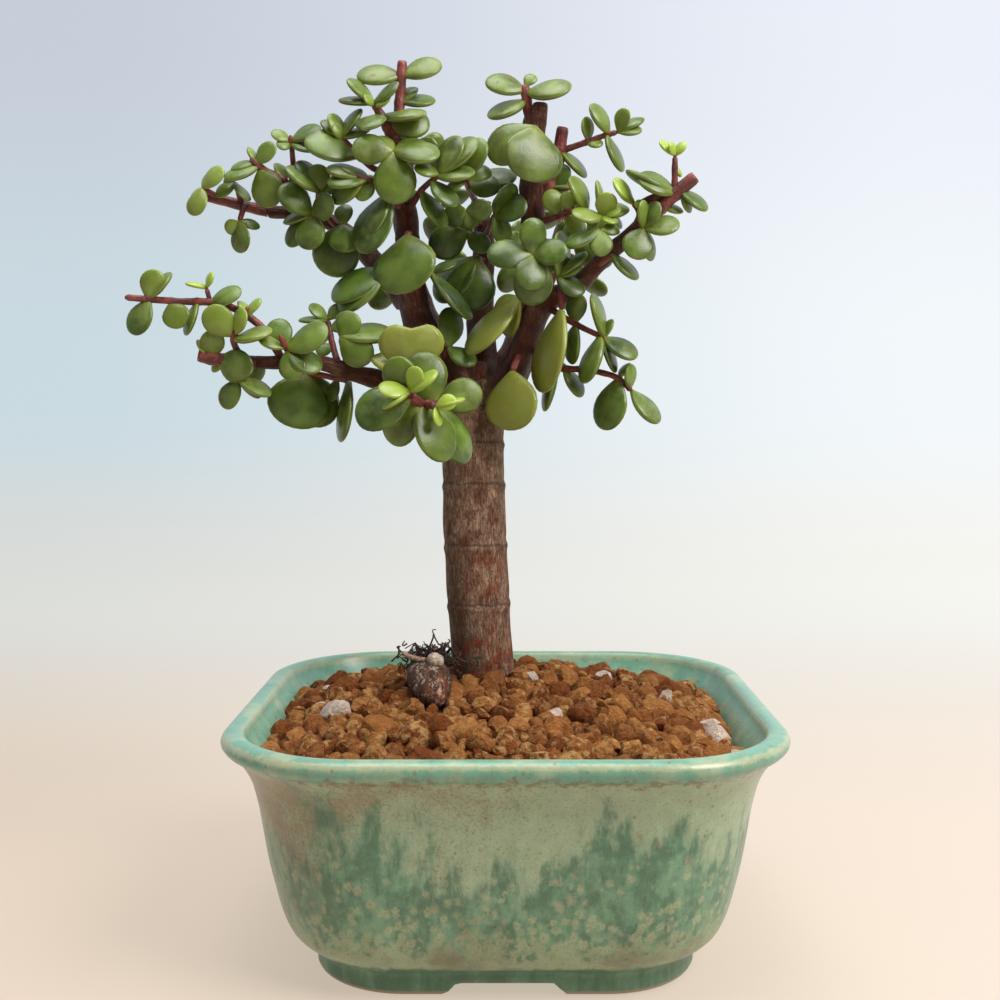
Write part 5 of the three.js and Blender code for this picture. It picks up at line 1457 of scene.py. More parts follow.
# ---------------------------------------------------------------- pot
@dataclass
class Pot:
    """The glazed pot: a wall of one plan that widens upwards, a rolled lip and a foot ring with arches.

    Attributes:
        rim_half: Half length over the lip.
        narrower: How much closer the sides are to the middle in Y than in X, at the lip.
        corner_share: Corner radius over half length.
        wall: Half length and height up the outside, from the foot to the top of the lip.
        inside: Half length and height from the top of the lip down to the floor.
        foot: Half length and height under the pot, from its middle out and round the foot ring.
        arch_half: Half width of the arch in each side of the foot.
        arch_slope: Width of the arch's sloping ends.
        arch_height: Height of the arch.
        foot_top: Height over which the arch fades into the wall.
        drain_x: Distance of each drain hole from the middle.
        drain_radius: Radius of a drain hole.
        columns: Points round.
    """

    rim_half: float = 80.0
    narrower: float = 5.5
    corner_share: float = 0.49
    wall: tuple[Pair, ...] = (
        (55.3, 3.5), (55.5, 5.7), (57.0, 7.4), (59.6, 9.3), (62.0, 12.0), (63.5, 15.0), (65.0, 19.5),
        (66.4, 25.5), (68.0, 33.0), (69.4, 42.0), (70.8, 51.0), (72.8, 58.6), (76.0, 64.2), (79.2, 67.1),
        (80.0, 69.0), (79.0, 70.9), (76.8, 71.7),
    )
    inside: tuple[Pair, ...] = (
        (74.6, 71.2), (73.2, 68.5), (68.2, 60.0), (65.0, 46.0), (61.6, 29.0), (57.5, 17.0), (52.0, 12.3),
    )
    foot: tuple[Pair, ...] = (
        (45.3, 5.5), (46.8, 5.3), (47.3, 4.6), (47.3, 1.0), (47.7, 0.2), (48.3, 0.0), (54.1, 0.0),
        (54.9, 0.3), (55.3, 1.2),
    )
    arch_half: float = 17.0
    arch_slope: float = 4.0
    arch_height: float = 3.2
    foot_top: float = 8.0
    drain_x: float = 27.0
    drain_radius: float = 7.0
    columns: int = 208

    def plan(self) -> Array:
        """The plan at a half length of one, evenly spaced along its outline.

        Four straight sides joined by quarter circles, walked counter-clockwise.

        Returns:
            Points (columns, 2).
        """
        half = 1.0
        half_y = 1.0 - self.narrower / self.rim_half
        corner = self.corner_share
        angle = np.linspace(0, math.pi / 2, 60)
        pieces = []
        for quarter, (sign_x, sign_y) in enumerate(((1, 1), (-1, 1), (-1, -1), (1, -1))):
            turn = angle + quarter * math.pi / 2
            x = sign_x * (half - corner) + corner * np.cos(turn)
            y = sign_y * (half_y - corner) + corner * np.sin(turn)
            pieces.append(np.stack([x, y], -1))
        outline = np.concatenate(pieces + [pieces[0][:1]])
        reach = np.concatenate([[0], np.cumsum(np.linalg.norm(np.diff(outline, axis=0), axis=1))])
        wanted = np.linspace(0, reach[-1], self.columns, endpoint=False)
        return np.stack([np.interp(wanted, reach, outline[:, k]) for k in range(2)], -1)

    def profile(self) -> tuple[Array, Array]:
        """The section from the middle of the underside out, up, over the lip and down inside.

        Returns:
            Half length and height at each step (n, 2), and the distance from the top of the lip (n,).
        """
        wall = Path([(h, 0.0, z) for h, z in self.wall + self.inside])
        places = np.linspace(0, 1, 132)
        curve = wall.at(places)[:, [0, 2]]
        top = wall.knots[len(self.wall) - 1]
        low = np.array(((4.0, 5.5), (20.0, 5.5), (34.0, 5.5)) + self.foot)
        floor = np.array([(40.0, 12.0), (22.0, 12.0), (4.0, 12.0)])
        below = np.full(len(low), -wall.length)
        across = np.concatenate([below, places * wall.length - top, np.full(len(floor), wall.length)])
        return np.concatenate([low, curve, floor]), across

    def make(self, finish: bpy.types.Material) -> bpy.types.Object:
        """Builds the pot as one shell with two drain holes.

        Each point is the plan scaled by the half length. Points of the foot under an arch are raised:
        their height is squeezed into what the arch leaves.

        Args:
            finish: The glaze.

        Returns:
            The pot.
        """
        section, across = self.profile()
        plan = self.plan()
        xy = section[:, None, :1] * plan[None]
        z = np.broadcast_to(section[:, None, 1], xy.shape[:2]).copy()
        x, y = np.abs(xy[..., 0]), np.abs(xy[..., 1])
        beside = np.where(y > x * 0.9, x, y)
        rise = np.clip((self.arch_half - beside) / self.arch_slope, 0, 1)
        rise = self.arch_height * rise * rise * (3 - 2 * rise)
        squeezed = rise + z * (self.foot_top - rise) / self.foot_top
        in_foot = (z < self.foot_top) & (section[:, None, 0] > 47.2)
        z = np.where(in_foot, squeezed, z)
        rings = np.concatenate([xy, z[..., None]], -1)[None]
        poles = np.array([[0.0, 0.0, section[0, 1]], [0.0, 0.0, section[-1, 1]]])
        points, quads, tris = closed_shells(rings, poles[:1], poles[1:])
        round_share = np.arange(self.columns) / self.columns
        uv = np.stack(np.broadcast_arrays(round_share * 0.55, across[:, None] * MM), -1)
        ends = np.array([[0.0, across[0] * MM], [0.0, across[-1] * MM]])
        uv = with_poles(uv[None], ends[:1], ends[1:])
        pot = build("glazed_pot", [Shell.laid(points, quads, tris, uv=uv)], [finish])
        self.drill(pot)
        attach(pot, "root")
        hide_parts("pot")
        return pot

    def drill(self, pot: bpy.types.Object) -> None:
        """Cuts the drain holes through the floor.

        Args:
            pot: The pot to cut.
        """
        for side in (-1, 1):
            path = Path([(side * self.drain_x, 0, z) for z in (2.0, 9.0, 15.0)])
            cutter = build("drain_cutter", [tube(path, np.full(3, self.drain_radius), 40)], [])
            cut = pot.modifiers.new("drain", "BOOLEAN")
            cut.operation = "DIFFERENCE"
            cut.solver = "EXACT"
            cut.object = cutter
            apply_modifiers(pot)
            bpy.data.objects.remove(cutter)


def apply_modifiers(piece: bpy.types.Object) -> None:
    """Replaces a piece's mesh with what its modifiers make of it.

    Args:
        piece: The piece.
    """
    depsgraph = bpy.context.evaluated_depsgraph_get()
    final = piece.evaluated_get(depsgraph)
    finished = bpy.data.meshes.new_from_object(final, preserve_all_data_layers=True, depsgraph=depsgraph)
    piece.modifiers.clear()
    old = piece.data
    name = old.name
    piece.data = finished
    bpy.data.meshes.remove(old)
    finished.name = name


# ---------------------------------------------------------------- soil
@dataclass
class Soil:
    """The bed of fired clay grains, heaped round the trunk.

    Attributes:
        edge_height: Height of the bed at the wall.
        rise: How much higher its ridge is.
        ridge_y: Where the ridge lies.
        reach_x: How far the heap reaches to each side.
        reach_front: How far it reaches to the front of its ridge.
        reach_back: How far it reaches behind its ridge.
        gap: Room between the bed and the wall.
        pitch: Spacing of the grains.
        grain: Least and greatest radius of a grain.
        loose: How many places are tried for the grains that lie on the others.
        floor: Underside of the bed.
        bed_depth: How far the bed lies below the grains.
        trunk_at: Middle of the trunk.
        trunk_room: Radius kept clear of grains round it.
        stub_x: Middle of the root stub.
        stub_y: Where the stub starts and ends.
        stub_room: Radius kept clear round it.
        seed: Seed of the draws.
        pumice: Where the pale grains lie.
    """

    edge_height: float = 61.0
    rise: float = 16.2
    ridge_y: float = 10.0
    reach_x: float = 74.0
    reach_front: float = 80.0
    reach_back: float = 60.0
    gap: float = 0.3
    pitch: float = 4.6
    grain: Pair = (1.2, 4.4)
    loose: int = 9000
    floor: float = 12.6
    bed_depth: float = 3.4
    trunk_at: Pair = (-7.0, 15.0)
    trunk_room: float = 10.4
    stub_x: float = -23.0
    stub_y: Pair = (-14.0, -2.0)
    stub_room: float = 6.2
    seed: int = 5
    pumice: tuple[Pair, ...] = (
        (67.0, -24.0), (69.0, -37.0), (17.5, -28.0), (-56.0, -8.0), (-53.0, -14.0), (52.0, 2.0),
        (-60.0, 14.0), (30.0, 8.0), (61.0, -11.0), (10.0, 2.0),
    )

    def height(self, x: Array, y: Array) -> Array:
        """Height of the heap: it falls off by powers of the distance from its ridge.

        Args:
            x: Across.
            y: Away from the front.

        Returns:
            Height in millimetres.
        """
        across = np.minimum(1, np.abs(x + 2) / self.reach_x) ** 3.0
        reach = np.where(y < self.ridge_y, self.reach_front, self.reach_back)
        along = np.minimum(1, np.abs(y - self.ridge_y) / reach) ** 1.6
        return self.edge_height + self.rise * (1 - across) * (1 - along)

    def inner_half(self, pot: Pot, z: Array) -> Array:
        """Half length of the pot's inside at a height."""
        table = np.array(pot.inside[::-1])
        return np.interp(z, table[:, 1], table[:, 0]) - self.gap

    def bed(self, pot: Pot) -> Shell:
        """The fill under the grains: the pot's inside plan up its wall, closed by the heap.

        Args:
            pot: The pot it fills.

        Returns:
            The closed fill.
        """
        plan = pot.plan()
        shares = np.linspace(1, 0.03, 30)
        edge = plan * self.inner_half(pot, np.array(self.edge_height))
        rows = []
        for z in np.linspace(self.floor, self.edge_height - 1.5, 12):
            flat = plan * self.inner_half(pot, np.array(z))
            rows.append(np.concatenate([flat, np.full((len(flat), 1), z)], 1))
        for share in shares:
            flat = edge * share
            top = self.height(flat[:, 0], flat[:, 1]) - self.bed_depth
            rows.append(np.concatenate([flat, top[:, None]], 1))
        rings = np.stack(rows)[None, :, ::2]
        middle = self.height(np.zeros(1), np.zeros(1)) - self.bed_depth
        poles = np.array([[0.0, 0.0, self.floor], [0.0, 0.0, float(middle[0])]])
        # painted shade: the fill takes the dark crumb colour, so that the gaps between the grains look shaded
        return Shell.laid(*closed_shells(rings, poles[:1], poles[1:]), (0.0, 0.0, 0.0, 0.75))

    def places(self, pot: Pot, rng: np.random.Generator) -> tuple[Array, Array]:
        """Middles and radii of the grains: a jittered triangular lattice, and larger ones lying on it.

        The larger ones are tried from the largest down; each stays that keeps clear of those before it.

        Args:
            pot: The pot.
            rng: The draws.

        Returns:
            Middles (n, 3) and radii (n,), in millimetres.
        """
        half = pot.rim_half
        count = int(2 * half / self.pitch)
        i, j = np.meshgrid(np.arange(count), np.arange(int(count * 1.16)), indexing="ij")
        x = (i + 0.5 * (j % 2)) * self.pitch - half
        y = j * self.pitch * 0.866 - half
        xy = np.stack([x.ravel(), y.ravel()], -1)
        xy += rng.uniform(-0.34, 0.34, xy.shape) * self.pitch
        low, high = self.grain
        under = rng.uniform(low, 0.6 * (low + high), len(xy))
        tries = rng.uniform(-half, half, (self.loose, 2))
        sizes = np.sort(low + (high - low) * rng.beta(1.5, 3.4, self.loose))[::-1]
        kept: list[int] = []
        for index in range(self.loose):
            apart = np.hypot(*(tries[kept] - tries[index]).T)
            if np.all(apart > 0.80 * (sizes[kept] + sizes[index])):
                kept.append(index)
        layer = np.concatenate([np.zeros(len(xy)), np.ones(len(kept))])
        xy = np.concatenate([xy, tries[kept]])
        radius = np.concatenate([under, sizes[kept]])
        z = self.height(xy[:, 0], xy[:, 1])
        # inside the plan: the scaled distance from the middle must leave the grain clear of the wall
        room = self.inner_half(pot, z) - 0.75 * radius
        corner = pot.corner_share * room
        ratio = 1 - pot.narrower / pot.rim_half
        over_x = np.maximum(np.abs(xy[:, 0]) - (room - corner), 0)
        over_y = np.maximum(np.abs(xy[:, 1]) - (room * ratio - corner), 0)
        inside = np.hypot(over_x, over_y) < corner
        clear = np.hypot(*(xy - self.trunk_at).T) > self.trunk_room + 0.4 * radius
        beyond = np.maximum(xy[:, 1] - self.stub_y[1], 0) + np.minimum(xy[:, 1] - self.stub_y[0], 0)
        stub = np.hypot(xy[:, 0] - self.stub_x, beyond) > self.stub_room + 0.3 * radius
        keep = inside & clear & stub
        xy, radius, layer, z = xy[keep], radius[keep], layer[keep], z[keep]
        z = z - 2.6 + layer * 2.0 - 0.35 * radius + rng.uniform(-0.7, 0.7, len(z))
        return np.column_stack([xy, z]), radius

    def grains(self, pot: Pot) -> Shell:
        """All grains at once: a ball cut by random planes, then dented and stretched.

        A point in a direction lies at the least of the planes' distances over the direction's share
        along each plane's normal, and at most a little outside the ball.

        Args:
            pot: The pot.

        Returns:
            The grains.
        """
        rng = np.random.default_rng(self.seed)
        middles, radius = self.places(pot, rng)
        ball, faces = icosphere(1)
        count, sides = len(middles), 8
        normals = unit(rng.normal(size=(count, sides, 3)))
        depths = rng.uniform(0.56, 0.96, (count, sides))
        share = np.einsum("vc,gkc->gvk", ball, normals)
        limit = np.where(share > 0.05, depths[:, None] / np.maximum(share, 0.05), 9.0).min(-1)
        reach = np.minimum(limit, 1.08) * (1 + rng.uniform(-0.07, 0.07, limit.shape))
        stretch = rng.uniform(0.80, 1.3, (count, 1, 3)) * np.array([1.15, 1.15, 1.0])
        spin = random_turns(rng, count)
        shape = np.einsum("gvc,gdc->gvd", ball[None] * reach[..., None] * stretch, spin)
        points = middles[:, None] + shape * radius[:, None, None]
        tint = np.zeros((count, 4))
        # painted light: grains towards the front right, where the key light falls, are made paler
        painted_light_front_right = 0.22 * np.clip((middles[:, 0] - 5) / 30, 0, 1) * np.clip((-20 - middles[:, 1]) / 20, 0, 1)
        tint[:, 0] = np.clip(rng.beta(0.9, 1.4, count) + painted_light_front_right, 0, 1)
        tint[:, 1] = rng.uniform(0.0, 1.0, count) ** 1.4
        tint[:, 2] = rng.uniform(0, 1, count) > 0.996
        tint[:, 3] = 0.9 * ((rng.uniform(0, 1, count) > 0.985) & (radius < 2.2))
        spots = np.array(self.pumice)
        under = middles[:, 2] < self.height(middles[:, 0], middles[:, 1]) - 2.2
        nearest = (np.linalg.norm(middles[None, :, :2] - spots[:, None], axis=-1) + 9.0 * under).argmin(1)
        points[nearest] += 0.3 * (points[nearest] - middles[nearest, None]) + np.array([0.0, 0.0, 0.8])
        tint[nearest, 2] = 1.0
        tint[nearest, 3] = 0.0
        tint = np.repeat(tint, len(ball), axis=0)
        tris = (faces[None] + (np.arange(count) * len(ball))[:, None, None]).reshape(-1, 3)
        return Shell.laid(points.reshape(-1, 3), NO_QUADS, tris, tint)

    def make(self, pot: Pot, finish: bpy.types.Material) -> bpy.types.Object:
        """Builds the bed with its grains.

        Args:
            pot: The pot that holds it.
            finish: The grains' finish.

        Returns:
            The soil.
        """
        piece = build("clay_granules", [self.bed(pot), self.grains(pot)], [finish])
        piece.data.set_sharp_from_angle(angle=0.55)
        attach(piece, "root")
        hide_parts("soil")
        return piece


def icosphere(splits: int) -> tuple[Array, Array]:
    """A ball of triangles: an icosahedron whose edges are halved and pushed out.

    Args:
        splits: How many times the edges are halved.

    Returns:
        Points (n, 3) and faces (m, 3).
    """
    g = (1 + math.sqrt(5)) / 2
    points = unit(np.array([
        (-1, g, 0), (1, g, 0), (-1, -g, 0), (1, -g, 0), (0, -1, g), (0, 1, g),
        (0, -1, -g), (0, 1, -g), (g, 0, -1), (g, 0, 1), (-g, 0, -1), (-g, 0, 1),
    ], float))
    faces = np.array([
        (0, 11, 5), (0, 5, 1), (0, 1, 7), (0, 7, 10), (0, 10, 11), (1, 5, 9), (5, 11, 4), (11, 10, 2),
        (10, 7, 6), (7, 1, 8), (3, 9, 4), (3, 4, 2), (3, 2, 6), (3, 6, 8), (3, 8, 9), (4, 9, 5),
        (2, 4, 11), (6, 2, 10), (8, 6, 7), (9, 8, 1),
    ])
    for _ in range(splits):
        corners = points[faces]
        middles = unit((corners + np.roll(corners, -1, axis=1)) / 2)
        every = np.concatenate([corners.reshape(-1, 3), middles.reshape(-1, 3)])
        unique, index = np.unique(every.round(6), axis=0, return_inverse=True)
        index = index.reshape(-1)
        count = len(faces)
        a, b, c = index[: 3 * count].reshape(count, 3).T
        ab, bc, ca = index[3 * count :].reshape(count, 3).T
        corner_sets = ((a, ab, ca), (ab, b, bc), (ca, bc, c), (ab, bc, ca))
        faces = np.concatenate([np.stack(t, -1) for t in corner_sets])
        points = unit(unique)
    return points, faces


def random_turns(rng: np.random.Generator, count: int) -> Array:
    """Random turning matrices from random unit quaternions.

    Args:
        rng: The draws.
        count: How many.

    Returns:
        Matrices (count, 3, 3).
    """
    w, x, y, z = unit(rng.normal(size=(count, 4))).T
    rows = [
        [1 - 2 * (y * y + z * z), 2 * (x * y - z * w), 2 * (x * z + y * w)],
        [2 * (x * y + z * w), 1 - 2 * (x * x + z * z), 2 * (y * z - x * w)],
        [2 * (x * z - y * w), 2 * (y * z + x * w), 1 - 2 * (x * x + y * y)],
    ]
    return np.moveaxis(np.array(rows), -1, 0)


# ---------------------------------------------------------------- trunk and boughs
@dataclass
class Limb:
    """One limb of the tree with its radius along it, at places about a millimetre apart.

    Attributes:
        path: Middle line.
        radii: Radius at each step.
        scars: How far each step is a ring scar, from 0 to 1.
    """

    path: Path
    radii: Array
    scars: Array

    @classmethod
    def bough(cls, rows: Sequence[Quad], pitch: float, phase: float) -> "Limb":
        """A bough: its radius follows its rows, with a slight swelling at each old leaf joint.

        Args:
            rows: Middle line and radius at each point.
            pitch: Distance between joints.
            phase: Where the first joint is, as a share of the pitch.

        Returns:
            The limb.
        """
        path = Path([row[:3] for row in rows])
        steps = max(8, int(path.length))
        run = np.linspace(0, path.length, steps)
        radii = np.interp(run, path.knots, [row[3] for row in rows])
        off = (run / pitch + phase) % 1.0
        joint = np.exp(-(((off - 0.5) * pitch / 0.9) ** 2))
        return cls(path, radii * (1 + 0.05 * joint), 0.55 * joint)


@dataclass
class Trunk:
    """Trunk and boughs as one growth.

    Attributes:
        x: Middle of the trunk.
        y: Middle of the trunk.
        foot: Height where it starts in the soil.
        radius: Its radius.
        scar_heights: Heights of the ring scars.
        scar: How proud a ring scar stands.
        sway: How far the middle line wanders.
        voxel: Fineness of the fused skin, in millimetres.
    """

    x: float = -7.2
    y: float = 15.0
    foot: float = 46.0
    radius: float = 10.0
    scar_heights: tuple[float, ...] = (98.0, 117.0, 136.5, 149.5, 161.0)
    scar: float = 0.5
    sway: float = 3.2
    voxel: float = 0.68

    def stem(self) -> Limb:
        """The trunk itself: a slow sway, and a raised ring at each scar height."""
        heights = np.linspace(self.foot, 162.5, 117)
        middle = np.stack([
            self.x - self.sway * np.sin((heights - 80) / 45),
            np.full_like(heights, self.y),
            heights,
        ], -1)
        offsets = heights[:, None] - np.array(self.scar_heights)
        ring = np.exp(-((offsets / 0.9) ** 2)).sum(1)
        above = np.exp(-(((offsets - 1.8) / 1.0) ** 2)).sum(1)
        radii = self.radius + self.scar * ring - 0.22 * above
        return Limb(Path(middle[::4]), radii, np.zeros_like(radii))

    def limbs(self) -> list[Limb]:
        """The trunk and every bough."""
        limbs = [self.stem()]
        for index, rows in enumerate(BOUGHS.values()):
            limbs.append(Limb.bough(rows, 7.5 + 1.3 * (index % 3), 0.17 * index))
        return limbs

    def skin(self, limbs: Sequence[Limb]) -> bpy.types.Mesh:
        """Fuses the limbs: a voxel skin round their tubes, then smoothed where they join.

        Args:
            limbs: The limbs.

        Returns:
            The fused mesh.
        """
        shells = []
        for index, limb in enumerate(limbs):
            sides = 40 if index == 0 else 22
            relief = 0.022 if index == 0 else 0.05
            shells.append(tube(limb.path, limb.radii, sides, seed=index + 3, relief=relief))
        rough = build("limbs", shells, [])
        fuse = rough.modifiers.new("fuse", "REMESH")
        fuse.mode = "VOXEL"
        fuse.voxel_size = self.voxel * MM
        fuse.use_smooth_shade = True
        ease = rough.modifiers.new("ease", "SMOOTH")
        ease.factor = 0.5
        ease.iterations = 2
        depsgraph = bpy.context.evaluated_depsgraph_get()
        mesh = bpy.data.meshes.new_from_object(rough.evaluated_get(depsgraph), depsgraph=depsgraph)
        bpy.data.objects.remove(rough)
        return mesh

    def marks(self, points: Array, limbs: Sequence[Limb]) -> tuple[Array, Array]:
        """Grain and tint of each point from the limb it lies on.

        The limb step whose surface is nearest, as distance over radius, gives the point's angle and run
        along the limb; the grain is that limb straightened.

        Args:
            points: Points of the skin, in layout millimetres.
            limbs: The limbs.

        Returns:
            Grain (n, 3) in metres and tint (n, 4).
        """
        rows = []
        for number, limb in enumerate(limbs):
            places = np.linspace(0, 1, len(limb.radii))
            run = places * limb.path.length + 41.0 * number
            own = np.full(len(places), number)
            rows.append((*limb.path.frames(places), limb.radii, run, limb.scars, own))
        centres, axes, sides, radii, runs, scars, numbers = (np.concatenate(v) for v in zip(*rows))
        nearest = []
        for chunk in np.array_split(points, max(1, len(points) // 6000)):
            gap = np.linalg.norm(chunk[:, None] - centres[None], axis=-1) / radii
            nearest.append(gap.argmin(1))
        pick = np.concatenate(nearest)
        off = points - centres[pick]
        x = (off * sides[pick]).sum(-1)
        y = (off * np.cross(axes[pick], sides[pick])).sum(-1)
        run = runs[pick] + (off * axes[pick]).sum(-1)
        grain = np.stack([x, y, run], -1)
        on_trunk = numbers[pick] == 0
        wobble = 0.55 * lumps(np.stack([x, y, np.zeros_like(x)], -1), 9.0, 31)
        lines = np.zeros(len(points))
        for height in self.scar_heights:
            lines = np.maximum(lines, np.exp(-(((points[:, 2] - height - 0.9 - wobble) / 0.42) ** 2)))
        front = np.exp(-(((points[:, 0] - self.x - 1) / 6) ** 2)) * (points[:, 1] < self.y)
        tint = np.zeros((len(points), 4))
        tint[:, 0] = np.clip((8.6 - radii[pick]) / 3.6, 0, 1) * ~on_trunk
        tint[:, 1] = np.where(on_trunk, 0.8 * lines, scars[pick] * 0.7)
        stub = np.linalg.norm(points - np.array([-9.0, 13.0, 176.5]), axis=-1)
        tint[:, 2] = np.exp(-((stub / 4.5) ** 4)) * 0.9
        low = np.exp(-(((points[:, 2] - 82) / 11) ** 2))
        higher = np.exp(-(((points[:, 2] - 108) / 8) ** 2))
        tint[:, 3] = np.where(on_trunk, 1.2 * low + 1.2 * front * higher, 0.35)
        return grain * MM, tint

    def make(self, finish: bpy.types.Material) -> bpy.types.Object:
        """Builds the trunk with its boughs.

        Args:
            finish: The bark.

        Returns:
            The trunk.
        """
        limbs = self.limbs()
        mesh = self.skin(limbs)
        count = len(mesh.vertices)
        flat = np.empty(count * 3, np.float32)
        mesh.vertices.foreach_get("co", flat)
        points = ROW.layout(flat.reshape(-1, 3))
        grain, tint = self.marks(points, limbs)
        for old in [a.name for a in mesh.attributes if a.name in ("grain", "tint")]:
            mesh.attributes.remove(mesh.attributes[old])
        put_marks(mesh, grain, tint)
        mesh.polygons.foreach_set("use_smooth", np.ones(len(mesh.polygons), bool))
        mesh.materials.clear()
        mesh.materials.append(finish)
        piece = bpy.data.objects.new("trunk_and_boughs", mesh)
        mesh.name = "trunk_and_boughs"
        bpy.context.scene.collection.objects.link(piece)
        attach(piece, "root")
        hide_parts("trunk")
        return piece


# ---------------------------------------------------------------- the old root beside the trunk
@dataclass
class RootStub:
    """The dead root stub with its mat of fine hairs.

    Attributes:
        path: Middle line of the knob.
        start_radius: Radius low in the soil.
        end_radius: Radius at its top.
        hairs: How many fine root hairs.
        seed: Seed of the draws.
    """

    path: tuple[Triple, ...] = (
        (-19, 4, 60), (-23, -1, 73), (-24.5, -6, 79.5), (-22.5, -13, 77), (-19.5, -17.5, 73),
    )
    start_radius: float = 7.4
    end_radius: float = 5.8
    hairs: int = 240
    seed: int = 8

    def knob(self) -> Shell:
        """The woody knob, lumpy, its torn red heart facing front and right."""
        steps = 34
        shape = np.linspace(self.start_radius, self.end_radius, steps)
        tail = np.linspace(0, 1, steps)
        shape = shape * np.sqrt(np.clip(1 - np.clip((tail - 0.72) / 0.29, 0, 0.97) ** 2, 0, 1))
        shell = tube(Path(self.path), shape, 48, seed=12, relief=0.30)
        layout = ROW.layout(shell.points)
        tint = np.zeros((len(layout), 4))
        tint[:, 0] = np.exp(-((np.linalg.norm(layout - np.array([-19.0, -19.0, 76.0]), axis=-1) / 6.0) ** 2))
        tint[:, 1] = 0.6 * np.clip((layout[:, 1] + 9) / 4, 0, 1)
        shell.tint = tint
        return shell

    def strands(self) -> list[Shell]:
        """Curly dark hairs over the knob's back, and one thin pale root."""
        rng = np.random.default_rng(self.seed)
        shells = []
        for index in range(self.hairs):
            start = np.array([-22.5, -2.5, 84.0]) + rng.normal(size=3) * np.array([4.4, 3.0, 1.6])
            lean = unit(rng.normal(size=3) + np.array([0.0, 0.0, 0.5]))
            curl = unit(rng.normal(size=3))
            reach = rng.uniform(2.0, 5.0)
            bend = reach * rng.uniform(0.3, 0.8)
            middle = start + lean * reach * 0.5 + curl * bend * 0.5
            turn = start + lean * reach * 0.7 + curl * bend
            points = [start, middle, turn, turn - lean * reach * 0.35 + curl * bend * 0.35]
            width = rng.uniform(0.16, 0.38)
            shells.append(tube(Path(points), np.linspace(width, width * 0.6, 9), 4, (0, 1, 0, 0), seed=index))
        pale = Path([(-31.5, -9.0, 87.0), (-28.0, -9.5, 85.6), (-24.0, -10.0, 84.8)])
        shells.append(tube(pale, np.linspace(0.7, 0.9, 8), 7, (0.5, 0, 0.9, 0), seed=3, relief=0.1))
        return shells

    def pebble(self) -> Shell:
        """A pale pebble resting on the knob."""
        ball, faces = icosphere(2)
        shape = ball * (1 + 0.09 * lumps(ball, 1.6, 5)[:, None]) * np.array([2.7, 2.4, 2.3])
        points = shape + np.array([-21.2, -11.0, 85.0])
        return Shell.laid(points, NO_QUADS, faces, (0.0, 0.0, 1.0, 0.0))

    def make(self, finish: bpy.types.Material) -> bpy.types.Object:
        """Builds the stub.

        Args:
            finish: Its finish.

        Returns:
            The stub.
        """
        piece = build("old_root_with_hairs", [self.knob(), self.pebble(), *self.strands()], [finish])
        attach(piece, "root")
        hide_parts("old_root_stub")
        return piece


# ---------------------------------------------------------------- foliage
class Mood(Enum):
    """Kinds of foliage: how fresh and how yellow its leaves are; the shaded kind is painted shade for sprays
    inside and under the crown.
    """

    USUAL = (0.0, 0.0)
    FRESH = (0.95, 0.2)
    LIGHT = (0.35, 0.15)
    YELLOW = (0.0, 0.9)
    # painted shade: sprays deep inside the crown and those hanging under it are made less fresh and less
    # yellow
    DARK = (-0.25, -0.1)


MOODS: dict[str, Mood] = {
    "heart": Mood.YELLOW,
    "round_leaf": Mood.YELLOW,
    "long_leaf": Mood.YELLOW,
    "right_j/0": Mood.YELLOW,
    "front/0": Mood.FRESH,
    "front/1": Mood.FRESH,
    "far_left/0": Mood.FRESH,
    "right_tip/0": Mood.FRESH,
    "right_e": Mood.FRESH,
    "low_left_tip/1": Mood.LIGHT,
    "right_d": Mood.LIGHT,
    "far_up_tip/0": Mood.LIGHT,
    "low_left_e": Mood.DARK,
    "left_b": Mood.DARK,
    "left_d": Mood.DARK,
    "mid_d": Mood.DARK,
    "mid_e": Mood.DARK,
}


@dataclass
class Blades:
    """The leaves of one spray as arrays, one row a leaf, in layout millimetres.

    Attributes:
        root: Where each starts, in the middle of its stem.
        along: Unit direction of its length.
        normal: Unit direction its face looks.
        length: Length.
        share: Width over length.
        tint: Its four shades.
    """

    root: Array
    along: Array
    normal: Array
    length: Array
    share: Array
    tint: Array


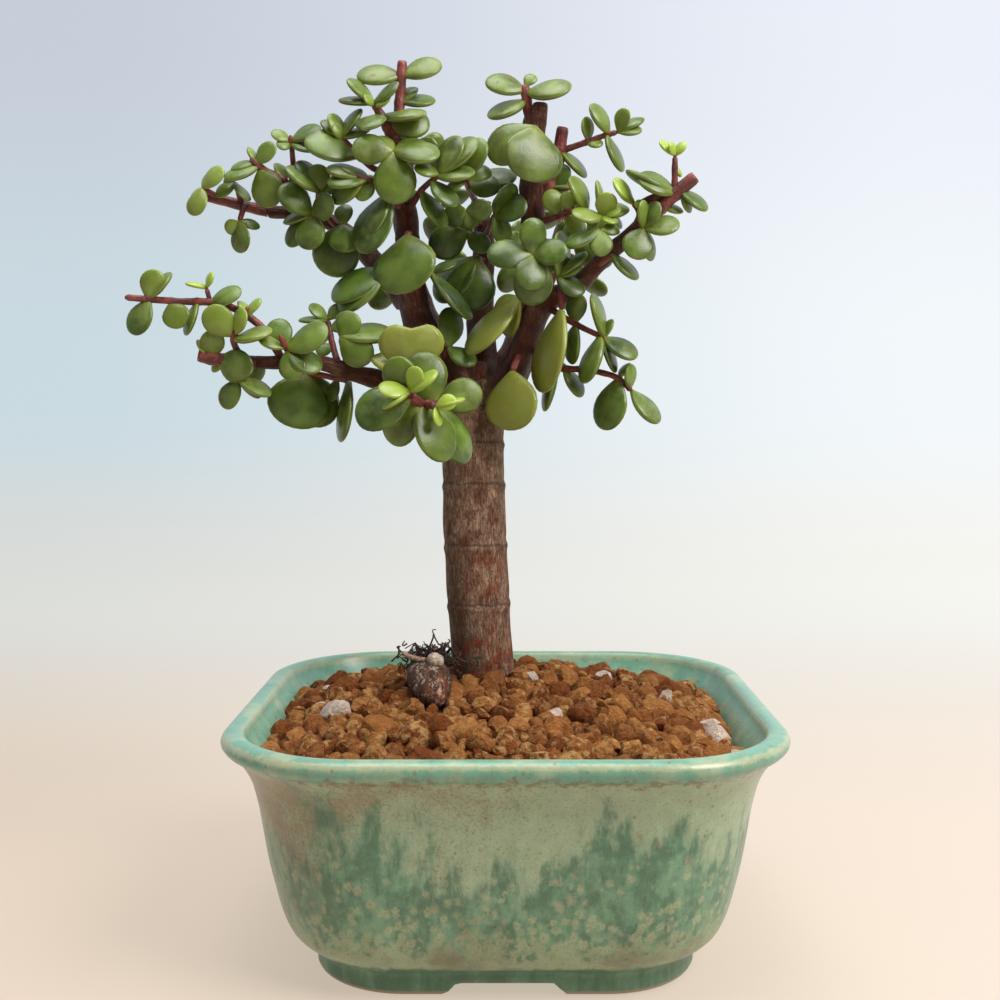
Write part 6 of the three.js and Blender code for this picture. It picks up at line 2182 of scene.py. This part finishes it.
@dataclass
class Foliage:
    """All leafy sprays.

    Attributes:
        share: Usual width over length.
        thick_share: Thickness over length.
        thick: Least and greatest thickness.
        fullness: Greatest width over the stated width.
        stations: Places along a blade where its sections lie.
        rng: The draws that set the small differences.
    """

    share: float = 0.72
    thick_share: float = 0.24
    thick: Pair = (1.7, 3.8)
    fullness: float = 1.12
    stations: tuple[float, ...] = (0.0, 0.07, 0.17, 0.30, 0.44, 0.58, 0.70, 0.81, 0.895, 0.95, 0.985)
    rng: np.random.Generator = field(default_factory=lambda: np.random.default_rng(4))

    def listed(self, sprig: Sprig, mood: Mood) -> Blades:
        """The leaves of a sprig from its rows.

        The blade's face starts square to its length and looking front, and is turned about the length.

        Args:
            sprig: The sprig.
            mood: Its kind.

        Returns:
            Its leaves.
        """
        path = Path(sprig.path)
        rows = np.array([tuple(row) + (self.share,) * (6 - len(row)) for row in sprig.leaves], float)
        root = path.at(rows[:, 0])
        reach = rows[:, 1:4]
        length = np.linalg.norm(reach, axis=1)
        along = reach / length[:, None]
        facing = np.where(np.abs(along @ FRONT)[:, None] > 0.94, UP, FRONT)
        flat = square_to(facing, along)
        side = np.cross(along, flat)
        angle = np.radians(rows[:, 4]) * np.where(side[:, 2] < -0.15, -1, 1)
        normal = unit(flat * np.cos(angle)[:, None] + side * np.sin(angle)[:, None])
        return Blades(root, along, normal, length, rows[:, 5], self.tints(length, mood, root, along))

    def paired(self, path: Path, size: float, draws: Draws) -> Blades:
        """The leaves of a back twig: three crossed pairs spreading from its outer half.

        Args:
            path: The twig.
            size: Usual length of a leaf.
            draws: The draws that set roll, spread and length.

        Returns:
            Its leaves.
        """
        roots, alongs, normals, lengths = [], [], [], []
        for pair in range(3):
            place = np.array([0.45 + 0.275 * pair])
            root, along = path.at(place)[0], path.along(place)[0]
            level = square_to(UP, along)
            side = np.cross(along, level)
            roll = math.pi / 2 * pair + 0.5 * (draws() - 0.5) + 0.6
            out = level * math.sin(roll) + side * math.cos(roll)
            spread = math.radians(76 - 9 * pair + 12 * draws())
            for sign in (1, -1):
                reach = out * sign * math.sin(spread) + along * math.cos(spread)
                lengths.append(size * (1.06 - 0.1 * pair) * (0.88 + 0.24 * draws()))
                roots.append(root)
                alongs.append(reach)
                normals.append(square_to(along, reach))
        length = np.array(lengths)
        share = np.full(len(length), self.share)
        tint = self.tints(length, Mood.USUAL, np.array(roots), np.array(alongs))
        return Blades(np.array(roots), np.array(alongs), np.array(normals), length, share, tint)

    def tints(self, length: Array, mood: Mood, root: Array, along: Array) -> Array:
        """Shades of leaves: small ones are fresher and big ones deeper, a few scabbed; those in the middle of
        the crown and hanging ones are deeper too, partly as older leaves and partly as painted shade.

        Args:
            length: Length of each leaf.
            mood: Kind of the foliage.
            root: Where each leaf starts.
            along: Unit direction of its length.

        Returns:
            Shades (n, 4).
        """
        fresh, yellow = mood.value
        count = len(length)
        young = np.clip((11 - length) / 9, 0, 1)
        tint = np.zeros((count, 4))
        # painted shade, in part: leaves in the middle of the crown lose freshness, yellow and wax, and
        # hanging ones lose freshness, so that they look shaded
        inner = np.exp(-(((root[:, 0] + 12) / 34) ** 2) - ((root[:, 2] - 200) / 30) ** 2)
        hanging = np.clip(-along[:, 2], 0, 1)
        young = young - 0.35 * inner - 0.25 * hanging
        own = self.rng.uniform(-0.08, 0.1, count)
        tint[:, 0] = np.clip(fresh * (0.75 + 0.25 * young) + 0.5 * young + own, 0, 1)
        tint[:, 1] = np.clip(yellow + self.rng.uniform(0.0, 0.26, count) * (1 - inner), 0, 1)
        tint[:, 2] = np.clip(self.rng.beta(2, 2, count) + 0.2 - 0.5 * max(fresh, 0) - 0.4 * inner, 0, 1)
        scabbed = self.rng.uniform(0, 1, count) > 0.87
        tint[:, 3] = scabbed * self.rng.uniform(0.5, 1.0, count) * (fresh < 0.5)
        return tint

    def outline(self, u: Array) -> Array:
        """Half width along a blade, greatest 1: a quick sine rise from a narrow foot, then a round end."""
        rise = 0.1 + 0.9 * np.sin(math.pi / 2 * np.clip(u / 0.55, 0, 1)) ** 0.95
        end = np.sqrt(np.clip(1 - (np.clip(u - 0.55, 0, 1) / 0.45) ** 2.1, 0, 1))
        return np.where(u < 0.55, rise, end)

    def body(self, u: Array) -> Array:
        """Half thickness along a blade, greatest 1: fat from the foot, rounded off at the tip."""
        rise = 0.55 + 0.45 * np.sin(math.pi / 2 * np.clip(u / 0.45, 0, 1))
        end = np.sqrt(np.clip(1 - (np.clip(u - 0.45, 0, 1) / 0.55) ** 2.6, 0, 1))
        return np.where(u < 0.45, rise, end)

    def shell(self, blades: Blades, notch: float = 0.0) -> Shell:
        """All blades of a spray at once.

        Each station of a blade is a lens: a circle's cosine times the half width across, its sine times
        the half thickness out, fuller below than above. The margins lift a little and the tip bends.

        Args:
            blades: The leaves.
            notch: Depth of a notch in the tip, as a share of the length.

        Returns:
            The closed blades.
        """
        count = len(blades.length)
        u = np.array(self.stations)
        angle = np.array([0.0, 34.0, 90.0, 146.0, 180.0, 214.0, 270.0, 326.0]) * math.pi / 180
        length = blades.length[:, None, None]
        half = 0.5 * self.fullness * blades.share[:, None, None] * length
        thick = np.clip(self.thick_share * blades.length, *self.thick)[:, None, None] / 2
        wide = self.outline(u)[None, :, None] * np.cos(angle)
        fat = self.body(u)[None, :, None] * np.sin(angle)
        fat = np.where(fat > 0, 0.82 * fat, 1.12 * fat)
        lift = self.rng.uniform(0.02, 0.12, (count, 1, 1)) * half * wide**2
        droop = self.rng.uniform(-0.03, 0.09, (count, 1, 1)) * length * (u[None, :, None] - 0.15) ** 2
        skew = self.rng.uniform(-0.05, 0.05, (count, 1, 1)) * half * np.sin(math.pi * u)[None, :, None]
        run = u[None, :, None] * length * np.ones_like(wide)
        if notch:
            near_tip = np.clip((u[None, :, None] - 0.6) / 0.38, 0, 1) ** 2
            run = run - notch * length * np.exp(-((wide / 0.4) ** 2)) * near_tip
        x = half * wide + skew
        z = thick * fat + lift - droop
        across = np.cross(blades.normal, blades.along)
        place = blades.root[:, None, None] + run[..., None] * blades.along[:, None, None]
        place = place + x[..., None] * across[:, None, None] + z[..., None] * blades.normal[:, None, None]
        tip_drop = -droop[:, -1, 0][:, None]
        tip_run = (blades.length * (1 - notch))[:, None]
        start = blades.root
        end = blades.root + tip_run * blades.along + tip_drop * blades.normal
        points, quads, tris = closed_shells(place, start, end)
        uv = np.stack(np.broadcast_arrays(u[None, :, None], 0.5 + 0.5 * np.cos(angle)), -1)
        uv = np.broadcast_to(uv, (count, *uv.shape[1:]))
        uv = with_poles(uv, np.tile([0.0, 0.5], (count, 1)), np.tile([1.0, 0.5], (count, 1)))
        shift = self.rng.uniform(0, 400, (count, 3))
        grain = np.stack(np.broadcast_arrays(x, z, run), -1) + shift[:, None, None]
        grain = with_poles(grain, shift, shift + np.column_stack([np.zeros((count, 2)), blades.length]))
        tint = np.repeat(blades.tint, len(u) * len(angle) + 2, axis=0)
        return Shell.laid(points, quads, tris, tint, grain, uv)

    def stem(self, sprig: Sprig, seed: int) -> Shell:
        """A stem with a slight swelling at each pair of leaves; a thick end is a flat cut.

        Args:
            sprig: The sprig.
            seed: Seed of its grain.

        Returns:
            The stem.
        """
        path = Path(sprig.path)
        steps = max(6, int(path.length / 0.9))
        places = np.linspace(0, 1, steps)
        radii = sprig.radii[0] + (sprig.radii[1] - sprig.radii[0]) * places
        joints = np.array([row[0] for row in sprig.leaves] or [2.0])
        near = np.exp(-((((places[:, None] - joints) * path.length) / 0.8) ** 2)).max(1)
        ahead = (places - 1) * path.length / max(radii[-1], 1e-6)
        thick = sprig.radii[1] > 1.4
        rounded = np.sqrt(1 - (0.25 if thick else 0.8) * np.clip(1 + ahead * (3 if thick else 1), 0, 1) ** 2)
        shell = tube(path, radii * (1 + 0.14 * near) * rounded, 10, seed=seed, relief=0.04, slot=1)
        if thick:
            tint = np.array(shell.tint)
            tint[-1, 0] = 1.0
            shell.tint = tint
        return shell

    def make(self, finishes: Sequence[bpy.types.Material]) -> list[bpy.types.Object]:
        """Builds every spray.

        Args:
            finishes: The leaf's and the stem's finish.

        Returns:
            The sprays.
        """
        pieces = []
        for number, (name, sprig) in enumerate(SPRIGS.items()):
            shells = []
            for index, part in enumerate((sprig, *sprig.twigs)):
                label = name if index == 0 else f"{name}/{index - 1}"
                mood = MOODS.get(label, MOODS.get(name, Mood.USUAL) if index else Mood.USUAL)
                if part.leaves:
                    shells.append(self.shell(self.listed(part, mood), 0.16 if name == "heart" else 0.0))
                shells.append(self.stem(part, 7 * number + index))
            pieces.append(self.put(name, shells, finishes))
        draws = Draws(7)
        for number, (name, (points, size)) in enumerate(BACK_SPRIGS.items()):
            path = Path(points)
            leaves = self.shell(self.paired(path, size, draws))
            pieces.append(self.put(name, [leaves, self.stem(Sprig(points), 300 + number)], finishes))
        return pieces

    def put(
        self, name: str, shells: Sequence[Shell], finishes: Sequence[bpy.types.Material]
    ) -> bpy.types.Object:
        """Joins one spray's shells into its piece.

        Args:
            name: Name of the spray.
            shells: Its leaves and stems.
            finishes: The leaf's and the stem's finish.

        Returns:
            The piece.
        """
        piece = build(f"leafy_{name}", shells, finishes)
        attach(piece, "root")
        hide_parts(f"spray_{name}")
        return piece


# ---------------------------------------------------------------- studio
@dataclass
class Studio:
    """Floor, backdrop, lights and camera.

    Attributes:
        distance: Camera in front of the pot's middle, in metres.
        eye: Camera height.
        pitch: How far it looks down, in degrees.
        lens: Focal length for a sensor 36 wide.
        shift: Sideways shift of the frame.
    """

    distance: float = 0.382
    eye: float = 0.161
    pitch: float = 4.2
    lens: float = 44.68
    shift: float = -0.0055

    def camera(self) -> None:
        """Puts the camera in front of the pot."""
        data = bpy.data.cameras.new("camera")
        data.lens = self.lens
        data.sensor_width = 36
        data.shift_x = self.shift
        data.clip_start = 0.01
        camera = bpy.data.objects.new("camera", data)
        camera.location = (ROW.shift[0], ROW.shift[1] - self.distance, self.eye)
        camera.rotation_euler = (math.radians(90 - self.pitch), 0, 0)
        bpy.context.scene.collection.objects.link(camera)
        bpy.context.scene.camera = camera

    def backdrop(self) -> None:
        """A pale cove: the floor bends up behind the object along a quarter circle."""
        turn = np.linspace(0, math.pi / 2, 24)
        radius = 0.45
        wall = 0.75
        y = np.concatenate([[-2.5, -0.5], wall + radius * np.sin(turn), [wall + radius]])
        z = np.concatenate([[0, 0], radius - radius * np.cos(turn), [3.0]])
        x = np.linspace(-3.5, 3.5, 9)
        grid = np.stack(np.broadcast_arrays(x[None], y[:, None], z[:, None] - 0.0004), -1)
        rows, columns, _ = grid.shape
        i, j = np.meshgrid(np.arange(rows - 1), np.arange(columns - 1), indexing="ij")
        first = (i * columns + j).ravel()
        quads = np.stack([first, first + 1, first + columns + 1, first + columns], -1)
        points = grid.reshape(-1, 3)
        blank = np.zeros((len(points), 4))
        shell = Shell(points, quads, np.zeros((0, 3), int), points, blank, np.zeros((len(points), 2)))
        material, g, shader = finish_of("studio_paper")
        place = g.place()
        side, back, high = g.parts(place)
        # painted light: the wall glows by itself, brighter to one side and bluer upwards, as the studio's
        # light would make it;
        # the floor is lit and glows a little, so that its shadows stay soft, and its colour and glow are
        # brighter to the same side
        side = g.step(side, -0.55, 0.60)
        low = g.mix(side, rgb("D9DAD6"), rgb("F6F5EF"))
        mid = g.mix(side, rgb("CADAE1"), rgb("F3F8FB"))
        top = g.mix(side, rgb("C6CEDA"), rgb("EDF1FA"))
        wall = g.mix(g.step(high, -0.02, 0.16), low, mid)
        wall = g.mix(g.step(high, 0.22, 0.62), wall, top)
        away = g.step(back, 0.02, 0.62)
        black = (0.0, 0.0, 0.0, 1.0)
        lit = g.mix(side, rgb("837569"), rgb("928981"))
        glow = g.mix(side, rgb("B6A795"), rgb("C8BDB0"))
        g.plug(
            shader, Base_Color=g.mix(away, lit, black), Emission_Color=g.mix(away, glow, wall),
            Emission_Strength=1.0, Roughness=0.9, Specular_IOR_Level=0.1,
        )
        floor = build("studio_floor", [shell], [material])

    def light(self, name: str, place: Triple, size: float, power: float, colour: Triple) -> None:
        """Adds one square soft light aimed at the crown.

        Args:
            name: Name of the light.
            place: Where it hangs.
            size: Side of its square.
            power: Power in watts.
            colour: Its colour.
        """
        data = bpy.data.lights.new(name, "AREA")
        data.size = size
        data.energy = power
        data.color = colour
        lamp = bpy.data.objects.new(name, data)
        lamp.location = place
        aim = Vector((0.0, 0.0, 0.15)) - Vector(place)
        lamp.rotation_euler = aim.to_track_quat("-Z", "Y").to_euler()
        bpy.context.scene.collection.objects.link(lamp)

    def make(self) -> None:
        """Sets up the studio."""
        self.camera()
        self.backdrop()
        self.light("key", (0.60, -0.42, 0.80), 0.5, 10.8, (1.0, 0.98, 0.95))
        self.light("fill", (-0.75, -0.5, 0.45), 0.7, 0.5, (0.95, 0.97, 1.0))
        self.light("top", (-0.05, -0.05, 1.0), 0.6, 6.5, (1.0, 1.0, 1.0))
        world = bpy.data.worlds.new("studio_air")
        world.use_nodes = True
        world.node_tree.nodes["Background"].inputs[0].default_value = (0.93, 0.96, 1.0, 1.0)
        world.node_tree.nodes["Background"].inputs[1].default_value = 0.14
        bpy.context.scene.world = world
        bpy.context.scene.view_settings.view_transform = "Standard"


def main() -> None:
    """Builds the studio, the pot, the soil and the tree."""
    logging.basicConfig(level=logging.INFO, format="%(message)s")
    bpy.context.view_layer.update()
    Studio().make()
    shared = SharedEffects(mottle_group(), speck_group(), fissure_group())
    pot = Pot()
    pieces = [
        pot.make(Glaze().make(shared)),
        Soil().make(pot, Granule().make(shared)),
        Trunk().make(Bark().make(shared)),
        RootStub().make(OldRoot().make(shared)),
        *Foliage().make((Leaf().make(shared), YoungStem().make(shared))),
    ]
    plastic = Plastic().make(shared)
    for side in ("left", "right"):
        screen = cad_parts[f"drain_screen_{side}"]
        screen.data.materials.clear()
        screen.data.materials.append(plastic)
    for piece in pieces:
        LOG.info("%s: %d faces", piece.name, len(piece.data.polygons))


if __name__ == "__main__":
    main()
